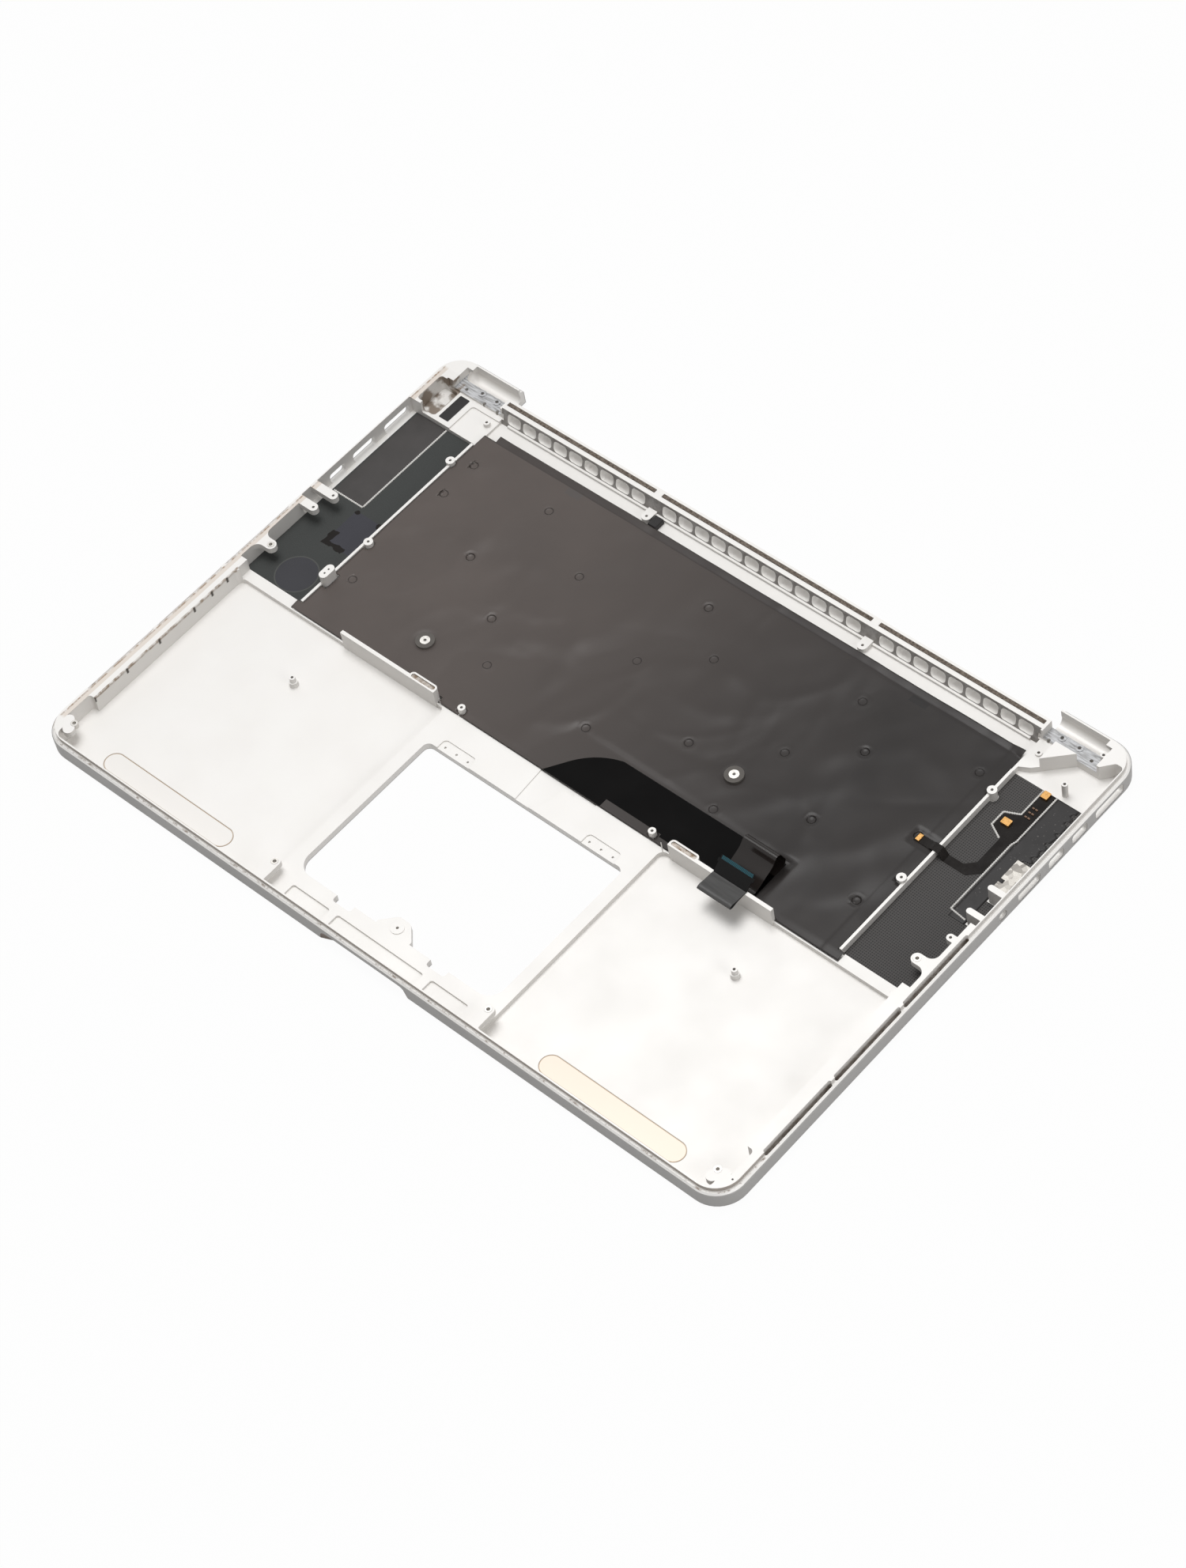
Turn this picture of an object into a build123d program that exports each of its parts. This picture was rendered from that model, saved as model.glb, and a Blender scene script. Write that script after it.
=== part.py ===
from build123d import *
import os

# Top case of a 15 inch notebook with its keyboard in place, lying on its palm rest with the inside up.
# X runs along the front edge, Y towards the hinges, Z up; the origin is on the table under the middle.
# All sizes are millimetres.

os.makedirs("parts", exist_ok=True)

# Outer shell: one milled aluminium tray with a stepped rim
CASE_WIDTH = 358.9
CASE_DEPTH = 247.1
CORNER_RADIUS = 13.0
RIM_HEIGHT = 7.55
RIM_CHAMFER = 1.0
LEDGE_WIDTH = 0.9
LIP_HEIGHT = 2.0
EAR_REACH = 8.25
EAR_LENGTH = 38.0

# Floors and walls inside the tray
SKIN = 1.0
FRAME_HEIGHT = 3.3
FRONT_WALL = 2.55
SLOT_HOUSING = 8.25
CORNER_WALL = 5.25
SPEAKER_WALL = 4.65
PORT_WALL = 2.35
FLOOR_CORNER = 3.0
CORNER_BAY_START = 7.0
CORNER_BAY_LENGTH = 15.0
PORT_BAY_LENGTH = 68.0

# Keyboard field
KEY_PITCH_X = 18.95
KEY_PITCH_Y = 18.4
FUNCTION_PITCH = 9.6
KEY_UNITS = 14.5
KEY_GAP_X = 2.75
KEY_GAP_Y = 2.8
HALF_KEY_GAP = 1.8
KEY_CORNER = 1.5
KEY_CLEARANCE = 0.3
KEY_TOP_RECESS = 0.3
KEY_CAP_HEIGHT = 1.3
KEY_CAP_SKIN = 0.6
KEY_CAP_WALL = 0.9
KEY_CAP_CHAMFER = 0.25
KEY_TRAVEL = 1.2
KEYS_REAR_MARGIN = 22.9
WELL_RECESS = 0.9
WELL_MARGIN = 1.4
WELL_CORNER = 2.5
WEB = 1.0
TRAVEL_ROOM = 0.2

# Sheets of the keyboard, one on another
SHEET_MARGIN = 0.4
SHEET_REACH = 2.2
CARRIER_SHEET = 0.2
BASE_PLATE = 0.3
LIGHT_GUIDE = 0.3
COVER_FILM = 0.15
FILM_REACH = 8.3
DOME_RADIUS = 2.8
DOME_TOP_RADIUS = 1.8
DOME_ROOM = 0.2
STEM_RADIUS = 2.2
SCREW_RADIUS = 0.5
SCREW_HEAD_RADIUS = 1.8
SCREW_HEAD = 0.28
SCREW_PLAY = 0.05
SCREW_TIP_ROOM = 0.1
BOSS_RADIUS = 1.0

# Pocket for the keyboard and the air duct behind it
POCKET_FRONT_MARGIN = 6.6
POCKET_SIDE_MARGIN = 3.2
WING_REACH = 2.9
BAR_FOOT = 7.5
BAR_LEAN = 2.2
RIB_WIDTH = 1.2
RIB_HEIGHT = 4.6
STRIP_WIDTH = 0.7
SHELF_DEPTH = 4.3
TAB_REACH = 3.6
TAB_RADIUS = 2.2
TAB_HEIGHT = 2.2
SILL_REACH = 0.7
SILL_HEIGHT = 1.3
SILL_END = 4.0

# Exhaust windows and foam grooves in the rear bar
SIDE_WINDOWS = 9
MIDDLE_WINDOWS = 12
WINDOW_PITCH_MIDDLE = 8.75
WINDOW_WALL = 1.25
WINDOW_SILL = 3.4
WINDOW_HEIGHT = 5.2
WINDOW_CORNER = 1.8
SIDE_GROUP_START = 60.6
SIDE_GROUP_MARGIN = 3.45
GROOVE_WIDTH = 1.9
GROOVE_DEPTH = 0.5
GROOVE_REAR_MARGIN = 1.25
GROOVE_MIDDLE_HALF = 54.7
GROOVE_SIDE_START = 58.5
GROOVE_SIDE_MARGIN = 1.45
FOAM_HEIGHT = 0.75
FOAM_PLAY = 0.1

# Trackpad opening with its tongue, notches and shallow seats
PAD_WIDTH = 103.1
PAD_DEPTH = 74.6
PAD_FRONT_MARGIN = 16.75
PAD_REAR_RADIUS = 3.0
PAD_FRONT_RADIUS = 7.0
PAD_SIDE_LAND = 5.45
TONGUE_REACH = 7.3
TONGUE_HALF = 8.8
TONGUE_TIP_HALF = 3.0
TONGUE_NECK = 1.2
TONGUE_ROUND = 2.4
TONGUE_RING = 2.8
TONGUE_RING_HEIGHT = 0.35
NOTCH_CENTRE = 24.7
NOTCH_HALF = 4.7
NOTCH_DEPTH = 2.9
NOTCH_ROUND = 1.2
FLEXURE_CENTRE = 38.0
FLEXURE_WIDTH = 17.0
FLEXURE_REACH = 5.0
FLEXURE_DEPTH = 0.6
FLEXURE_ROUND = 1.9
FLEXURE_HOLE_PITCH = 6.0
FLEXURE_HOLE_BACK = 2.1
FLEXURE_HOLE_RADIUS = 0.5
STRIP_POCKETS = ((-46.7, -26.8), (-23.0, 22.5), (26.5, 45.8))
STRIP_POCKET_DEPTH = 1.0
STRIP_POCKET_REAR = 10.25
CABLE_RECESS_DEPTH = 0.5
CABLE_RECESS_ARC = 15.5

# Threaded inserts and their ears
INSERT_RADIUS = 1.55
INSERT_BORE = 0.75
INSERT_LENGTH = 2.3
INSERT_PROUD = 0.1
EAR_RADIUS = 2.4
EAR_THICKNESS = 2.8
EAR_GRIP = 0.3
SIDE_EAR_ROUND = 3.5
INSERT_SIDE = 10.6
INSERT_FRONT = 10.85
INSERT_MIDDLE_X = 56.2
INSERT_MIDDLE_FRONT = 11.15
CORNER_EAR_RUN = 3.2

# Ears and arms on the side walls: distance in from the outer face, and forward from the rear edge
LEFT_EARS = ((11.1, 90.6), (13.6, 81.3))
LEFT_EAR_RADIUS = 2.0
RIGHT_RING = (6.6, 100.8)
RIGHT_RING_RADIUS = 1.6
RIGHT_ARMS = ((8.4, 87.3), (8.4, 74.5))
ARM_RADIUS = 1.3

# Bosses on the keyboard's side ribs: distance out from the pocket, and forward from the rear edge
RIB_BOSSES = ((1.0, 37.1), (-1.1, 88.8))
RIB_BOSS_RADIUS = 2.0
RIB_BOSS_TOP = 6.0
OVAL_POST_FRONT = 1.6
OVAL_POST_REAR = 5.2
OVAL_POST_INSET = 0.5
OVAL_POST_HOLE = 0.45

# Posts in the battery wells, ring posts and the tall ribs with their clips
WELL_POST_X = 116.0
WELL_POST_Y = -42.5
WELL_POST_RADIUS = 1.9
WELL_POST_NECK = 1.3
WELL_POST_TOP = 5.95
WELL_POST_SHOULDER = 3.6
SMALL_HOLE = 0.6
TALL_RIB_TOP = 10.8
TALL_RIB_WIDTH = 1.6
TALL_RIB_START = 61.3
TALL_RIB_END = 112.6
TALL_RIB_LEAD = 0.3
CLIP_HOUSING_LENGTH = 14.0
CLIP_HOUSING_WIDTH = 3.4
CLIP_LENGTH = 12.4
CLIP_WIDTH = 1.9
CLIP_DEPTH = 1.2
CLIP_RECESS = 0.5
RING_POST_X = 50.0
RING_POST_RADIUS = 1.6
RING_POST_TOP = 6.5
RING_POST_BACK = 2.3

# Palm rest inlays, cooling slots, the thumb scoop and a pin hole in the front corner
INLAY_X = 117.1
INLAY_FRONT = 10.25
INLAY_LENGTH = 70.0
INLAY_WIDTH = 9.6
INLAY_DEPTH = 0.3
INLAY_PLAY = 0.15
SLOT_COUNT = 3
SLOT_LENGTH = 37.4
SLOT_PITCH = 39.4
SLOT_WIDTH = 1.6
SLOT_MIDDLE_Y = -39.2
SLOT_EDGE = 1.15
SLOT_DEPTH = 3.0
SCOOP_HALF = 23.0
SCOOP_HEIGHT = 5.2
SCOOP_REACH = 2.0
SCOOP_ROUND = 4.0
SCOOP_RUN_OUT = 5.0
PIN_HOLE = 0.4
PIN_HOLE_SIDE = 3.65

# Hinge corners
PLATE_HEIGHT = 5.2
PLATE_FRONT = 7.0
PLATE_LENGTH = 26.5
PLATE_RINGS = ((6.2, 5.1), (14.4, 5.1))
PLATE_HOLES = ((10.1, 1.6), (2.6, 1.4), (21.7, 3.1))
PLATE_RING_RADIUS = 1.7
PLATE_RING_HEIGHT = 0.4
PLATE_HOLE = 0.75
CHANNEL_RADIUS = 3.0
CHANNEL_LENGTH = 23.5
CHANNEL_BACK = 5.35
CHANNEL_TOP_HALF = 2.7
LEFT_SHELF = 3.9
LEFT_SHELF_SIDE = 8.5
LEFT_POCKET_DEPTH = 0.8
LEFT_POCKET_LENGTH = 15.1
LEFT_POCKET_BACK = 1.6
LEFT_BAY_FLOOR = 1.5
LEFT_BAY_SIDE = 14.0
RIGHT_SHELF = 4.2
RIGHT_SHELF_WIDTH = 8.0
RIGHT_BAY_FLOOR = 1.3
BAY_BACK = 5.0
BAY_ROUND = 1.5
BAY_POSTS = ((16.3, 20.3), (12.8, 0.9))
BAY_POST_RADIUS = 1.25
SHELF_BOSS_RADIUS = 1.5
SHELF_BOSS_TOP = 5.0
SHELF_BOSS_FRONT = 5.4
RIGHT_SHELF_BOSS = 3.9
LEFT_SHELF_BOSS = 3.4

# Side openings: distance of the middle from the rear edge, and length, from the rear to the front
PORT_HEIGHT = 5.1
PORT_SILL = 0.95
PORT_ROUND = 1.4
RIGHT_PORTS = ((14.0, 17.0), (32.3, 9.0), (46.5, 9.0), (62.8, 13.1))
JACK_BACK = 78.5
JACK_RADIUS = 2.3
LEFT_PORTS = ((32.3, 15.0), (52.3, 13.1), (68.3, 9.0))

# Cloths, films, flexes and what sits on them
MESH_SHEET = 0.3
MESH_PLAY = 0.1
THIN_FILM = 0.15
PORT_FILM_LENGTH = 66.0
PORT_FILM_WIDE_LENGTH = 30.0
PORT_FILM_STEP = 3.5
LEFT_FILM_LENGTH = 51.0
LEFT_FILM_INSET = 1.0
FLEX_THICKNESS = 0.2
RIBBON_THICKNESS = 0.12
RIBBON_LEFT = -5.3
RIBBON_RIGHT = 24.5
RIBBON_REACH = 22.0
TAIL_START = 22.4
TAIL_WIDTH = 16.3
TAIL_THICKNESS = 0.16
LOOP_REACH = 21.6
LOOP_HEIGHT = 9.2
LOOP_SAG = 1.7
LOOP_FOOT = 2.6
TAIL_FOOT_RUN = 4.4
TAPE_REACH = 8.6
TAPE_ROLL = 0.6
TAPE_ROLL_RUN = 2.5
TAPE_DROOP = 0.4
TAPE_GAP = 0.35
STIFFENER_LENGTH = 7.2
STIFFENER_RISE = 4.3
STIFFENER_THICKNESS = 0.3
STIFFENER_EAR = 0.7
CONTACT_LENGTH = 1.5
CONTACT_INSET = 0.5
CONTACT_THICKNESS = 0.12
STANDOFF_RADIUS = 2.1
STANDOFF_TOP = 4.95
STANDOFF_BORE = 0.65
WASHER_RADIUS = 4.0
WASHER_THICKNESS = 0.9
MICROPHONE_HEIGHT = 1.0
PLUG_HEIGHT = 0.5
BRACKET_HALF = 8.1
BRACKET_THICKNESS = 0.35
BRACKET_OVERLAP = 1.9
BRACKET_HEIGHT = 5.0
BRACKET_TAB = 1.2
BRACKET_NOTCH = (2.1, 3.9)
CONNECTOR_WIDTH = 4.4
CONNECTOR_HEIGHT = 2.4
FIT_PLAY = 0.3
REST_GAP = 0.05

# Places worked out from the sizes above
half_w = CASE_WIDTH / 2
half_d = CASE_DEPTH / 2
lip_inset = RIM_CHAMFER + LEDGE_WIDTH
lip_top = RIM_HEIGHT + LIP_HEIGHT
above = lip_top + TALL_RIB_TOP
ear_inner = half_w - EAR_LENGTH
rear_edge = half_d - EAR_REACH
front_in = -half_d + FRONT_WALL
well_outer = half_w - SLOT_HOUSING
corner_outer = half_w - CORNER_WALL
speaker_outer = half_w - SPEAKER_WALL
port_outer = half_w - PORT_WALL

field_width = KEY_UNITS * KEY_PITCH_X
field_depth = 5 * KEY_PITCH_Y + FUNCTION_PITCH
keys_rear = rear_edge - KEYS_REAR_MARGIN
keys_front = keys_rear - field_depth
web_top = WELL_RECESS + WEB
key_pressed = KEY_TOP_RECESS + KEY_CAP_HEIGHT + KEY_TRAVEL
carrier_z = key_pressed + TRAVEL_ROOM
plate_z = carrier_z + CARRIER_SHEET
guide_z = plate_z + BASE_PLATE
film_z = guide_z + LIGHT_GUIDE
film_top = film_z + COVER_FILM
dome_top = KEY_TOP_RECESS + KEY_CAP_SKIN + KEY_TRAVEL + DOME_ROOM

pocket_half = field_width / 2 + POCKET_SIDE_MARGIN
pocket_front = keys_front - POCKET_FRONT_MARGIN
pocket_rear = rear_edge - BAR_FOOT
wing_half = pocket_half + WING_REACH
speaker_inner = pocket_half + RIB_WIDTH
speaker_front = pocket_front + SHELF_DEPTH
speaker_rear = keys_rear - SHEET_MARGIN
speaker_width = speaker_outer - speaker_inner
well_rear = pocket_front - STRIP_WIDTH
well_inner = PAD_WIDTH / 2 + PAD_SIDE_LAND
pad_half = PAD_WIDTH / 2
pad_front = -half_d + PAD_FRONT_MARGIN
pad_rear = pad_front + PAD_DEPTH
channel_y = half_d - CHANNEL_BACK
plate_front_y = rear_edge - PLATE_FRONT

# Tall ribs with clip housings, and the ring posts behind the trackpad
rib_y = pocket_front - TALL_RIB_LEAD
rib_front = rib_y - TALL_RIB_WIDTH / 2
rib_back = rib_y + TALL_RIB_WIDTH / 2
clip_x = TALL_RIB_START + CLIP_HOUSING_LENGTH / 2
clip_y = rib_y + (CLIP_HOUSING_WIDTH - TALL_RIB_WIDTH) / 2
clip_places = [(-clip_x, clip_y), (clip_x, clip_y)]
housing_back = clip_y + CLIP_HOUSING_WIDTH / 2
ring_post_y = pocket_front + RING_POST_BACK
ring_posts = [(-RING_POST_X, ring_post_y), (RING_POST_X, ring_post_y)]
well_posts = [(-WELL_POST_X, WELL_POST_Y), (WELL_POST_X, WELL_POST_Y)]

# Insert seats: front corners, beside the trackpad and the middle of both sides
corner_insert = (half_w - INSERT_SIDE, -half_d + INSERT_FRONT)
middle_insert = (INSERT_MIDDLE_X, -half_d + INSERT_MIDDLE_FRONT)
side_insert = (half_w - INSERT_SIDE, 0.0)
insert_seats = [(side * x, y) for x, y in (corner_insert, middle_insert, side_insert) for side in (-1, 1)]

# Side ears and arms, rib bosses and the posts of the rear corners
left_ears = [(-half_w + inset, rear_edge - back) for inset, back in LEFT_EARS]
right_ring = (half_w - RIGHT_RING[0], rear_edge - RIGHT_RING[1])
right_arms = [(half_w - inset, rear_edge - back) for inset, back in RIGHT_ARMS]
rib_bosses = [(side * (pocket_half + out), rear_edge - back) for out, back in RIB_BOSSES for side in (-1, 1)]
oval_post_x = -pocket_half + OVAL_POST_INSET
bay_posts = [(half_w - inset, rear_edge - back) for inset, back in BAY_POSTS]
shelf_boss_y = plate_front_y - SHELF_BOSS_FRONT
shelf_bosses = [
    (pocket_half + RIGHT_SHELF_BOSS, shelf_boss_y),
    (-pocket_half - LEFT_SHELF_BOSS, shelf_boss_y),
]

# Screws of the key plate between the key rows: places across in key units from the middle
row_lines = [keys_front + row * KEY_PITCH_Y for row in range(1, 6)]
screw_columns = (
    (-6.98, -3.04, -0.25, 3.22, 6.96),
    (-3.80, 1.72, 4.99),
    (-5.31, -0.55, 3.47, 6.95),
    (-7.00, -3.04, 0.73, 4.78),
    (-7.00, -4.79, -0.25, 3.92, 6.96),
)
screw_seats = [(unit * KEY_PITCH_X, y) for y, columns in zip(row_lines, screw_columns) for unit in columns]
standoff_units = ((-4.54, 0.685), (3.01, 1.924))
standoff_seats = [(across * KEY_PITCH_X, keys_front + up * KEY_PITCH_Y) for across, up in standoff_units]


def panel(x0, x1, y0, y1, radius=0.0, mode=Mode.ADD):
    """Adds a rectangle, given by its four sides, to the open sketch."""
    with Locations(((x0 + x1) / 2, (y0 + y1) / 2)):
        if radius:
            RectangleRounded(abs(x1 - x0), abs(y1 - y0), radius, mode=mode)
        else:
            Rectangle(abs(x1 - x0), abs(y1 - y0), mode=mode)


def discs(places, radius, mode=Mode.ADD):
    """Adds one circle at each place to the open sketch."""
    with Locations(*places):
        Circle(radius, mode=mode)


def ear(x0, y0, x1, y1, radius):
    """Adds a stadium between two centres to the open sketch."""
    run = Vector(x1 - x0, y1 - y0)
    turn = Vector(1, 0).get_signed_angle(run)
    with Locations(Location(((x0 + x1) / 2, (y0 + y1) / 2, 0), (0, 0, turn))):
        SlotCenterToCenter(run.length, 2 * radius)


def tongue(x, y, root_x, root_y, radius):
    """Adds an ear with a round tip and a straight root, square to a wall, to the open sketch."""
    discs([(x, y)], radius)
    if root_y == y:
        panel(x, root_x, y - radius, y + radius)
    else:
        panel(x - radius, x + radius, y, root_y)


def outline(points):
    """Adds a closed straight-sided face to the open sketch."""
    Polygon(*points, align=None)


def band(points, thickness):
    """Adds a strip of even thickness along a side view to the open sketch."""
    outline(list(points) + [(along, z + thickness) for along, z in reversed(points)])


def strip(line, thickness, steps=60, lead=0.0):
    """Adds a strip of even thickness on the left of a smooth side-view line, after a straight lead."""
    shares = [count / steps for count in range(steps + 1)]
    near = [line @ share for share in shares]
    far = [line @ share + (line % share).rotate(Axis.Z, 90) * thickness for share in shares]
    if lead:
        near.insert(0, near[0] - (line % 0) * lead)
        far.insert(0, far[0] - (line % 0) * lead)
    outline([(point.X, point.Y) for point in near + far[::-1]])


def across_well(share):
    """Gives the place across the right speaker well, 0 at the keyboard and 1 at the side wall."""
    return speaker_inner + share * speaker_width


# Key rows from the front edge to the rear, each from +X to -X: name of a moving key or None, and units
def letters(word):
    return [("key_" + letter, 1.0) for letter in word]


plain = (None, 1.0)
command = (None, 1.25)
bottom_row = [plain] * 3 + [command, ("key_space", 5.0), command] + [plain] * 4
shift_row = [("key_shift_left", 2.25)] + letters("zxcvbnm") + [plain] * 3 + [("key_shift_right", 2.25)]
caps_row = [("key_caps", 1.75)] + letters("asdfghjkl") + [plain] * 2 + [("key_return", 1.75)]
tab_row = [("key_tab", 1.5)] + letters("qwertyuiop") + [plain] * 3
number_row = [plain] * 13 + [(None, 1.5)]
function_row = [(None, KEY_UNITS / 14)] * 14
split_key = 8

moving_keys = []
fixed_keys = []
for row, keys in enumerate((bottom_row, shift_row, caps_row, tab_row, number_row, function_row)):
    right = field_width / 2
    pitch = FUNCTION_PITCH if keys is function_row else KEY_PITCH_Y
    middle_y = keys_front + row * KEY_PITCH_Y + pitch / 2
    for place, (name, units) in enumerate(keys):
        run = units * KEY_PITCH_X
        cap = (right - run / 2, middle_y, run - KEY_GAP_X, pitch - KEY_GAP_Y)
        right -= run
        if name:
            moving_keys.append((name, cap))
        elif keys is bottom_row and place == split_key:
            half = (cap[3] - HALF_KEY_GAP) / 2
            step = (half + HALF_KEY_GAP) / 2
            fixed_keys.append((cap[0], cap[1] - step, cap[2], half))
            fixed_keys.append((cap[0], cap[1] + step, cap[2], half))
        else:
            fixed_keys.append(cap)
all_keys = [cap for name, cap in moving_keys] + fixed_keys


def key_faces(caps, grow, radius, mode=Mode.ADD):
    """Adds each key's rounded rectangle, grown by a margin on every side, to the open sketch."""
    sizes = {}
    for x, y, width, depth in caps:
        sizes.setdefault((round(width, 6), round(depth, 6)), []).append((x, y))
    for (width, depth), places in sizes.items():
        with Locations(*places):
            RectangleRounded(width + 2 * grow, depth + 2 * grow, radius + grow, mode=mode)


# Top case: a milled tray with a chamfered rim, a ledge and a thin lip that takes the bottom cover
with BuildPart() as top_case:
    with BuildSketch():
        RectangleRounded(CASE_WIDTH, CASE_DEPTH, CORNER_RADIUS)
    extrude(amount=RIM_HEIGHT)
    chamfer(top_case.faces().sort_by(Axis.Z)[-1].edges(), RIM_CHAMFER)
    with BuildSketch(Plane.XY.offset(RIM_HEIGHT)):
        lip_round = CORNER_RADIUS - lip_inset
        RectangleRounded(CASE_WIDTH - 2 * lip_inset, CASE_DEPTH - 2 * lip_inset, lip_round)
    extrude(amount=LIP_HEIGHT)

    # Gap for the lid's hinge cover between the two hinge ears
    with BuildSketch():
        panel(-ear_inner, ear_inner, rear_edge, half_d + EAR_REACH)
    extrude(amount=above, mode=Mode.SUBTRACT)

    # Battery wells, speaker wells and their port bays, milled down to the skin
    with BuildSketch(Plane.XY.offset(SKIN)):
        bay_front = front_in + CORNER_BAY_START
        for side in (-1, 1):
            panel(side * well_inner, side * well_outer, front_in, well_rear, FLOOR_CORNER)
            bay_inner = well_outer - FLOOR_CORNER
            panel(side * bay_inner, side * corner_outer, bay_front, bay_front + CORNER_BAY_LENGTH, BAY_ROUND)
            panel(side * speaker_inner, side * speaker_outer, speaker_front, speaker_rear)
            port_inner = speaker_outer - FLOOR_CORNER
            panel(side * port_inner, side * port_outer, speaker_rear - PORT_BAY_LENGTH, speaker_rear)
    extrude(amount=above, mode=Mode.SUBTRACT)

    # Trackpad frame, front land and the shelf between battery wells and keyboard
    with BuildSketch(Plane.XY.offset(FRAME_HEIGHT)):
        panel(-well_inner - 1, well_inner + 1, front_in, pocket_front + 1)
        panel(-well_outer, well_outer, well_rear - 0.5, speaker_front + 0.1)
    extrude(amount=above, mode=Mode.SUBTRACT)

    # Keyboard pocket with the duct floor behind it, and the ribs beside it cut low
    with BuildSketch(Plane.XY.offset(web_top)):
        panel(-pocket_half, pocket_half, pocket_front, pocket_rear)
        panel(-wing_half, wing_half, pocket_front, speaker_front)
    extrude(amount=above, mode=Mode.SUBTRACT)
    with BuildSketch(Plane.XY.offset(RIB_HEIGHT)):
        for side in (-1, 1):
            panel(side * (pocket_half - 1), side * (speaker_inner + 1), speaker_front, pocket_rear)
    extrude(amount=above, mode=Mode.SUBTRACT)

    # Leaning front face of the exhaust bar, its windows and its foam grooves
    with BuildSketch(Plane.YZ):
        outline(((pocket_rear, web_top), (pocket_rear + BAR_LEAN, lip_top), (pocket_rear, lip_top)))
    extrude(amount=pocket_half, both=True, mode=Mode.SUBTRACT)
    with BuildSketch(Plane.XY.offset(web_top)):
        sill_end = pocket_half - SILL_END
        panel(-sill_end, sill_end, pocket_rear - SILL_REACH, pocket_rear + BAR_LEAN)
    extrude(amount=SILL_HEIGHT)
    side_run = ear_inner - SIDE_GROUP_MARGIN - SIDE_GROUP_START
    side_pitch = side_run / SIDE_WINDOWS
    window_z = WINDOW_SILL + WINDOW_HEIGHT / 2
    with BuildSketch(Plane.XZ.offset(-rear_edge - 1)):
        with Locations((0, window_z)):
            with GridLocations(WINDOW_PITCH_MIDDLE, 0, MIDDLE_WINDOWS, 1):
                RectangleRounded(WINDOW_PITCH_MIDDLE - WINDOW_WALL, WINDOW_HEIGHT, WINDOW_CORNER)
        for side in (-1, 1):
            with Locations((side * (SIDE_GROUP_START + side_run / 2), window_z)):
                with GridLocations(side_pitch, 0, SIDE_WINDOWS, 1):
                    RectangleRounded(side_pitch - WINDOW_WALL, WINDOW_HEIGHT, WINDOW_CORNER)
    extrude(amount=BAR_FOOT + 2, mode=Mode.SUBTRACT)
    groove_rear = rear_edge - GROOVE_REAR_MARGIN
    groove_front = groove_rear - GROOVE_WIDTH
    groove_end = ear_inner - GROOVE_SIDE_MARGIN
    with BuildSketch(Plane.XY.offset(lip_top - GROOVE_DEPTH)):
        panel(-GROOVE_MIDDLE_HALF, GROOVE_MIDDLE_HALF, groove_front, groove_rear)
        for side in (-1, 1):
            panel(side * GROOVE_SIDE_START, side * groove_end, groove_front, groove_rear)
    extrude(amount=above, mode=Mode.SUBTRACT)

    # Rear corners: shelves, the deep bays beside them, hinge plates and hinge channels
    with BuildSketch(Plane.XY.offset(LEFT_SHELF)):
        panel(-half_w + LEFT_SHELF_SIDE, -pocket_half + 1, speaker_rear - 1, plate_front_y + 1)
    extrude(amount=above, mode=Mode.SUBTRACT)
    with BuildSketch(Plane.XY.offset(LEFT_SHELF - LEFT_POCKET_DEPTH)):
        pocket_side = -pocket_half - LEFT_POCKET_LENGTH
        panel(pocket_side, -pocket_half + 1, speaker_rear - 1, plate_front_y - LEFT_POCKET_BACK, BAY_ROUND)
    extrude(amount=LEFT_POCKET_DEPTH, mode=Mode.SUBTRACT)
    with BuildSketch(Plane.XY.offset(LEFT_BAY_FLOOR)):
        panel(-corner_outer, -half_w + LEFT_BAY_SIDE, speaker_rear + 1.5, plate_front_y + 0.2, BAY_ROUND)
    extrude(amount=above, mode=Mode.SUBTRACT)
    with BuildSketch(Plane.XY.offset(RIGHT_SHELF)):
        shelf_inner = pocket_half - 1
        panel(shelf_inner, pocket_half + RIGHT_SHELF_WIDTH, speaker_rear - 1, plate_front_y + 1)
    extrude(amount=above, mode=Mode.SUBTRACT)
    with BuildSketch(Plane.XY.offset(RIGHT_BAY_FLOOR)) as right_bay:
        outline((
            (speaker_inner, speaker_rear - 1),
            (speaker_inner, speaker_rear + 1.5),
            (across_well(0.13), speaker_rear + 3.8),
            (across_well(0.2), speaker_rear + 6),
            (across_well(0.51), plate_front_y),
            (across_well(0.83), plate_front_y),
            (across_well(0.96), plate_front_y + BAY_BACK),
            (port_outer, plate_front_y + BAY_BACK),
            (port_outer, speaker_rear - 1),
        ))
        fillet(right_bay.vertices().sort_by(Axis.Y)[-2:], BAY_ROUND)
    extrude(amount=above, mode=Mode.SUBTRACT)
    for side in (-1, 1):
        with BuildSketch(Plane.XY.offset(PLATE_HEIGHT)):
            panel(side * ear_inner, side * (ear_inner + PLATE_LENGTH), plate_front_y, channel_y)
        extrude(amount=above, mode=Mode.SUBTRACT)
        with BuildSketch(Plane.YZ.offset(side * (ear_inner - 1))):
            with Locations((channel_y, PLATE_HEIGHT)):
                Circle(CHANNEL_RADIUS)
            panel(channel_y - CHANNEL_RADIUS, channel_y + CHANNEL_TOP_HALF, PLATE_HEIGHT, above)
        extrude(amount=side * (CHANNEL_LENGTH + 1), mode=Mode.SUBTRACT)
        with Locations((side * (ear_inner + CHANNEL_LENGTH), channel_y, PLATE_HEIGHT)):
            Sphere(CHANNEL_RADIUS, mode=Mode.SUBTRACT)

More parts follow.
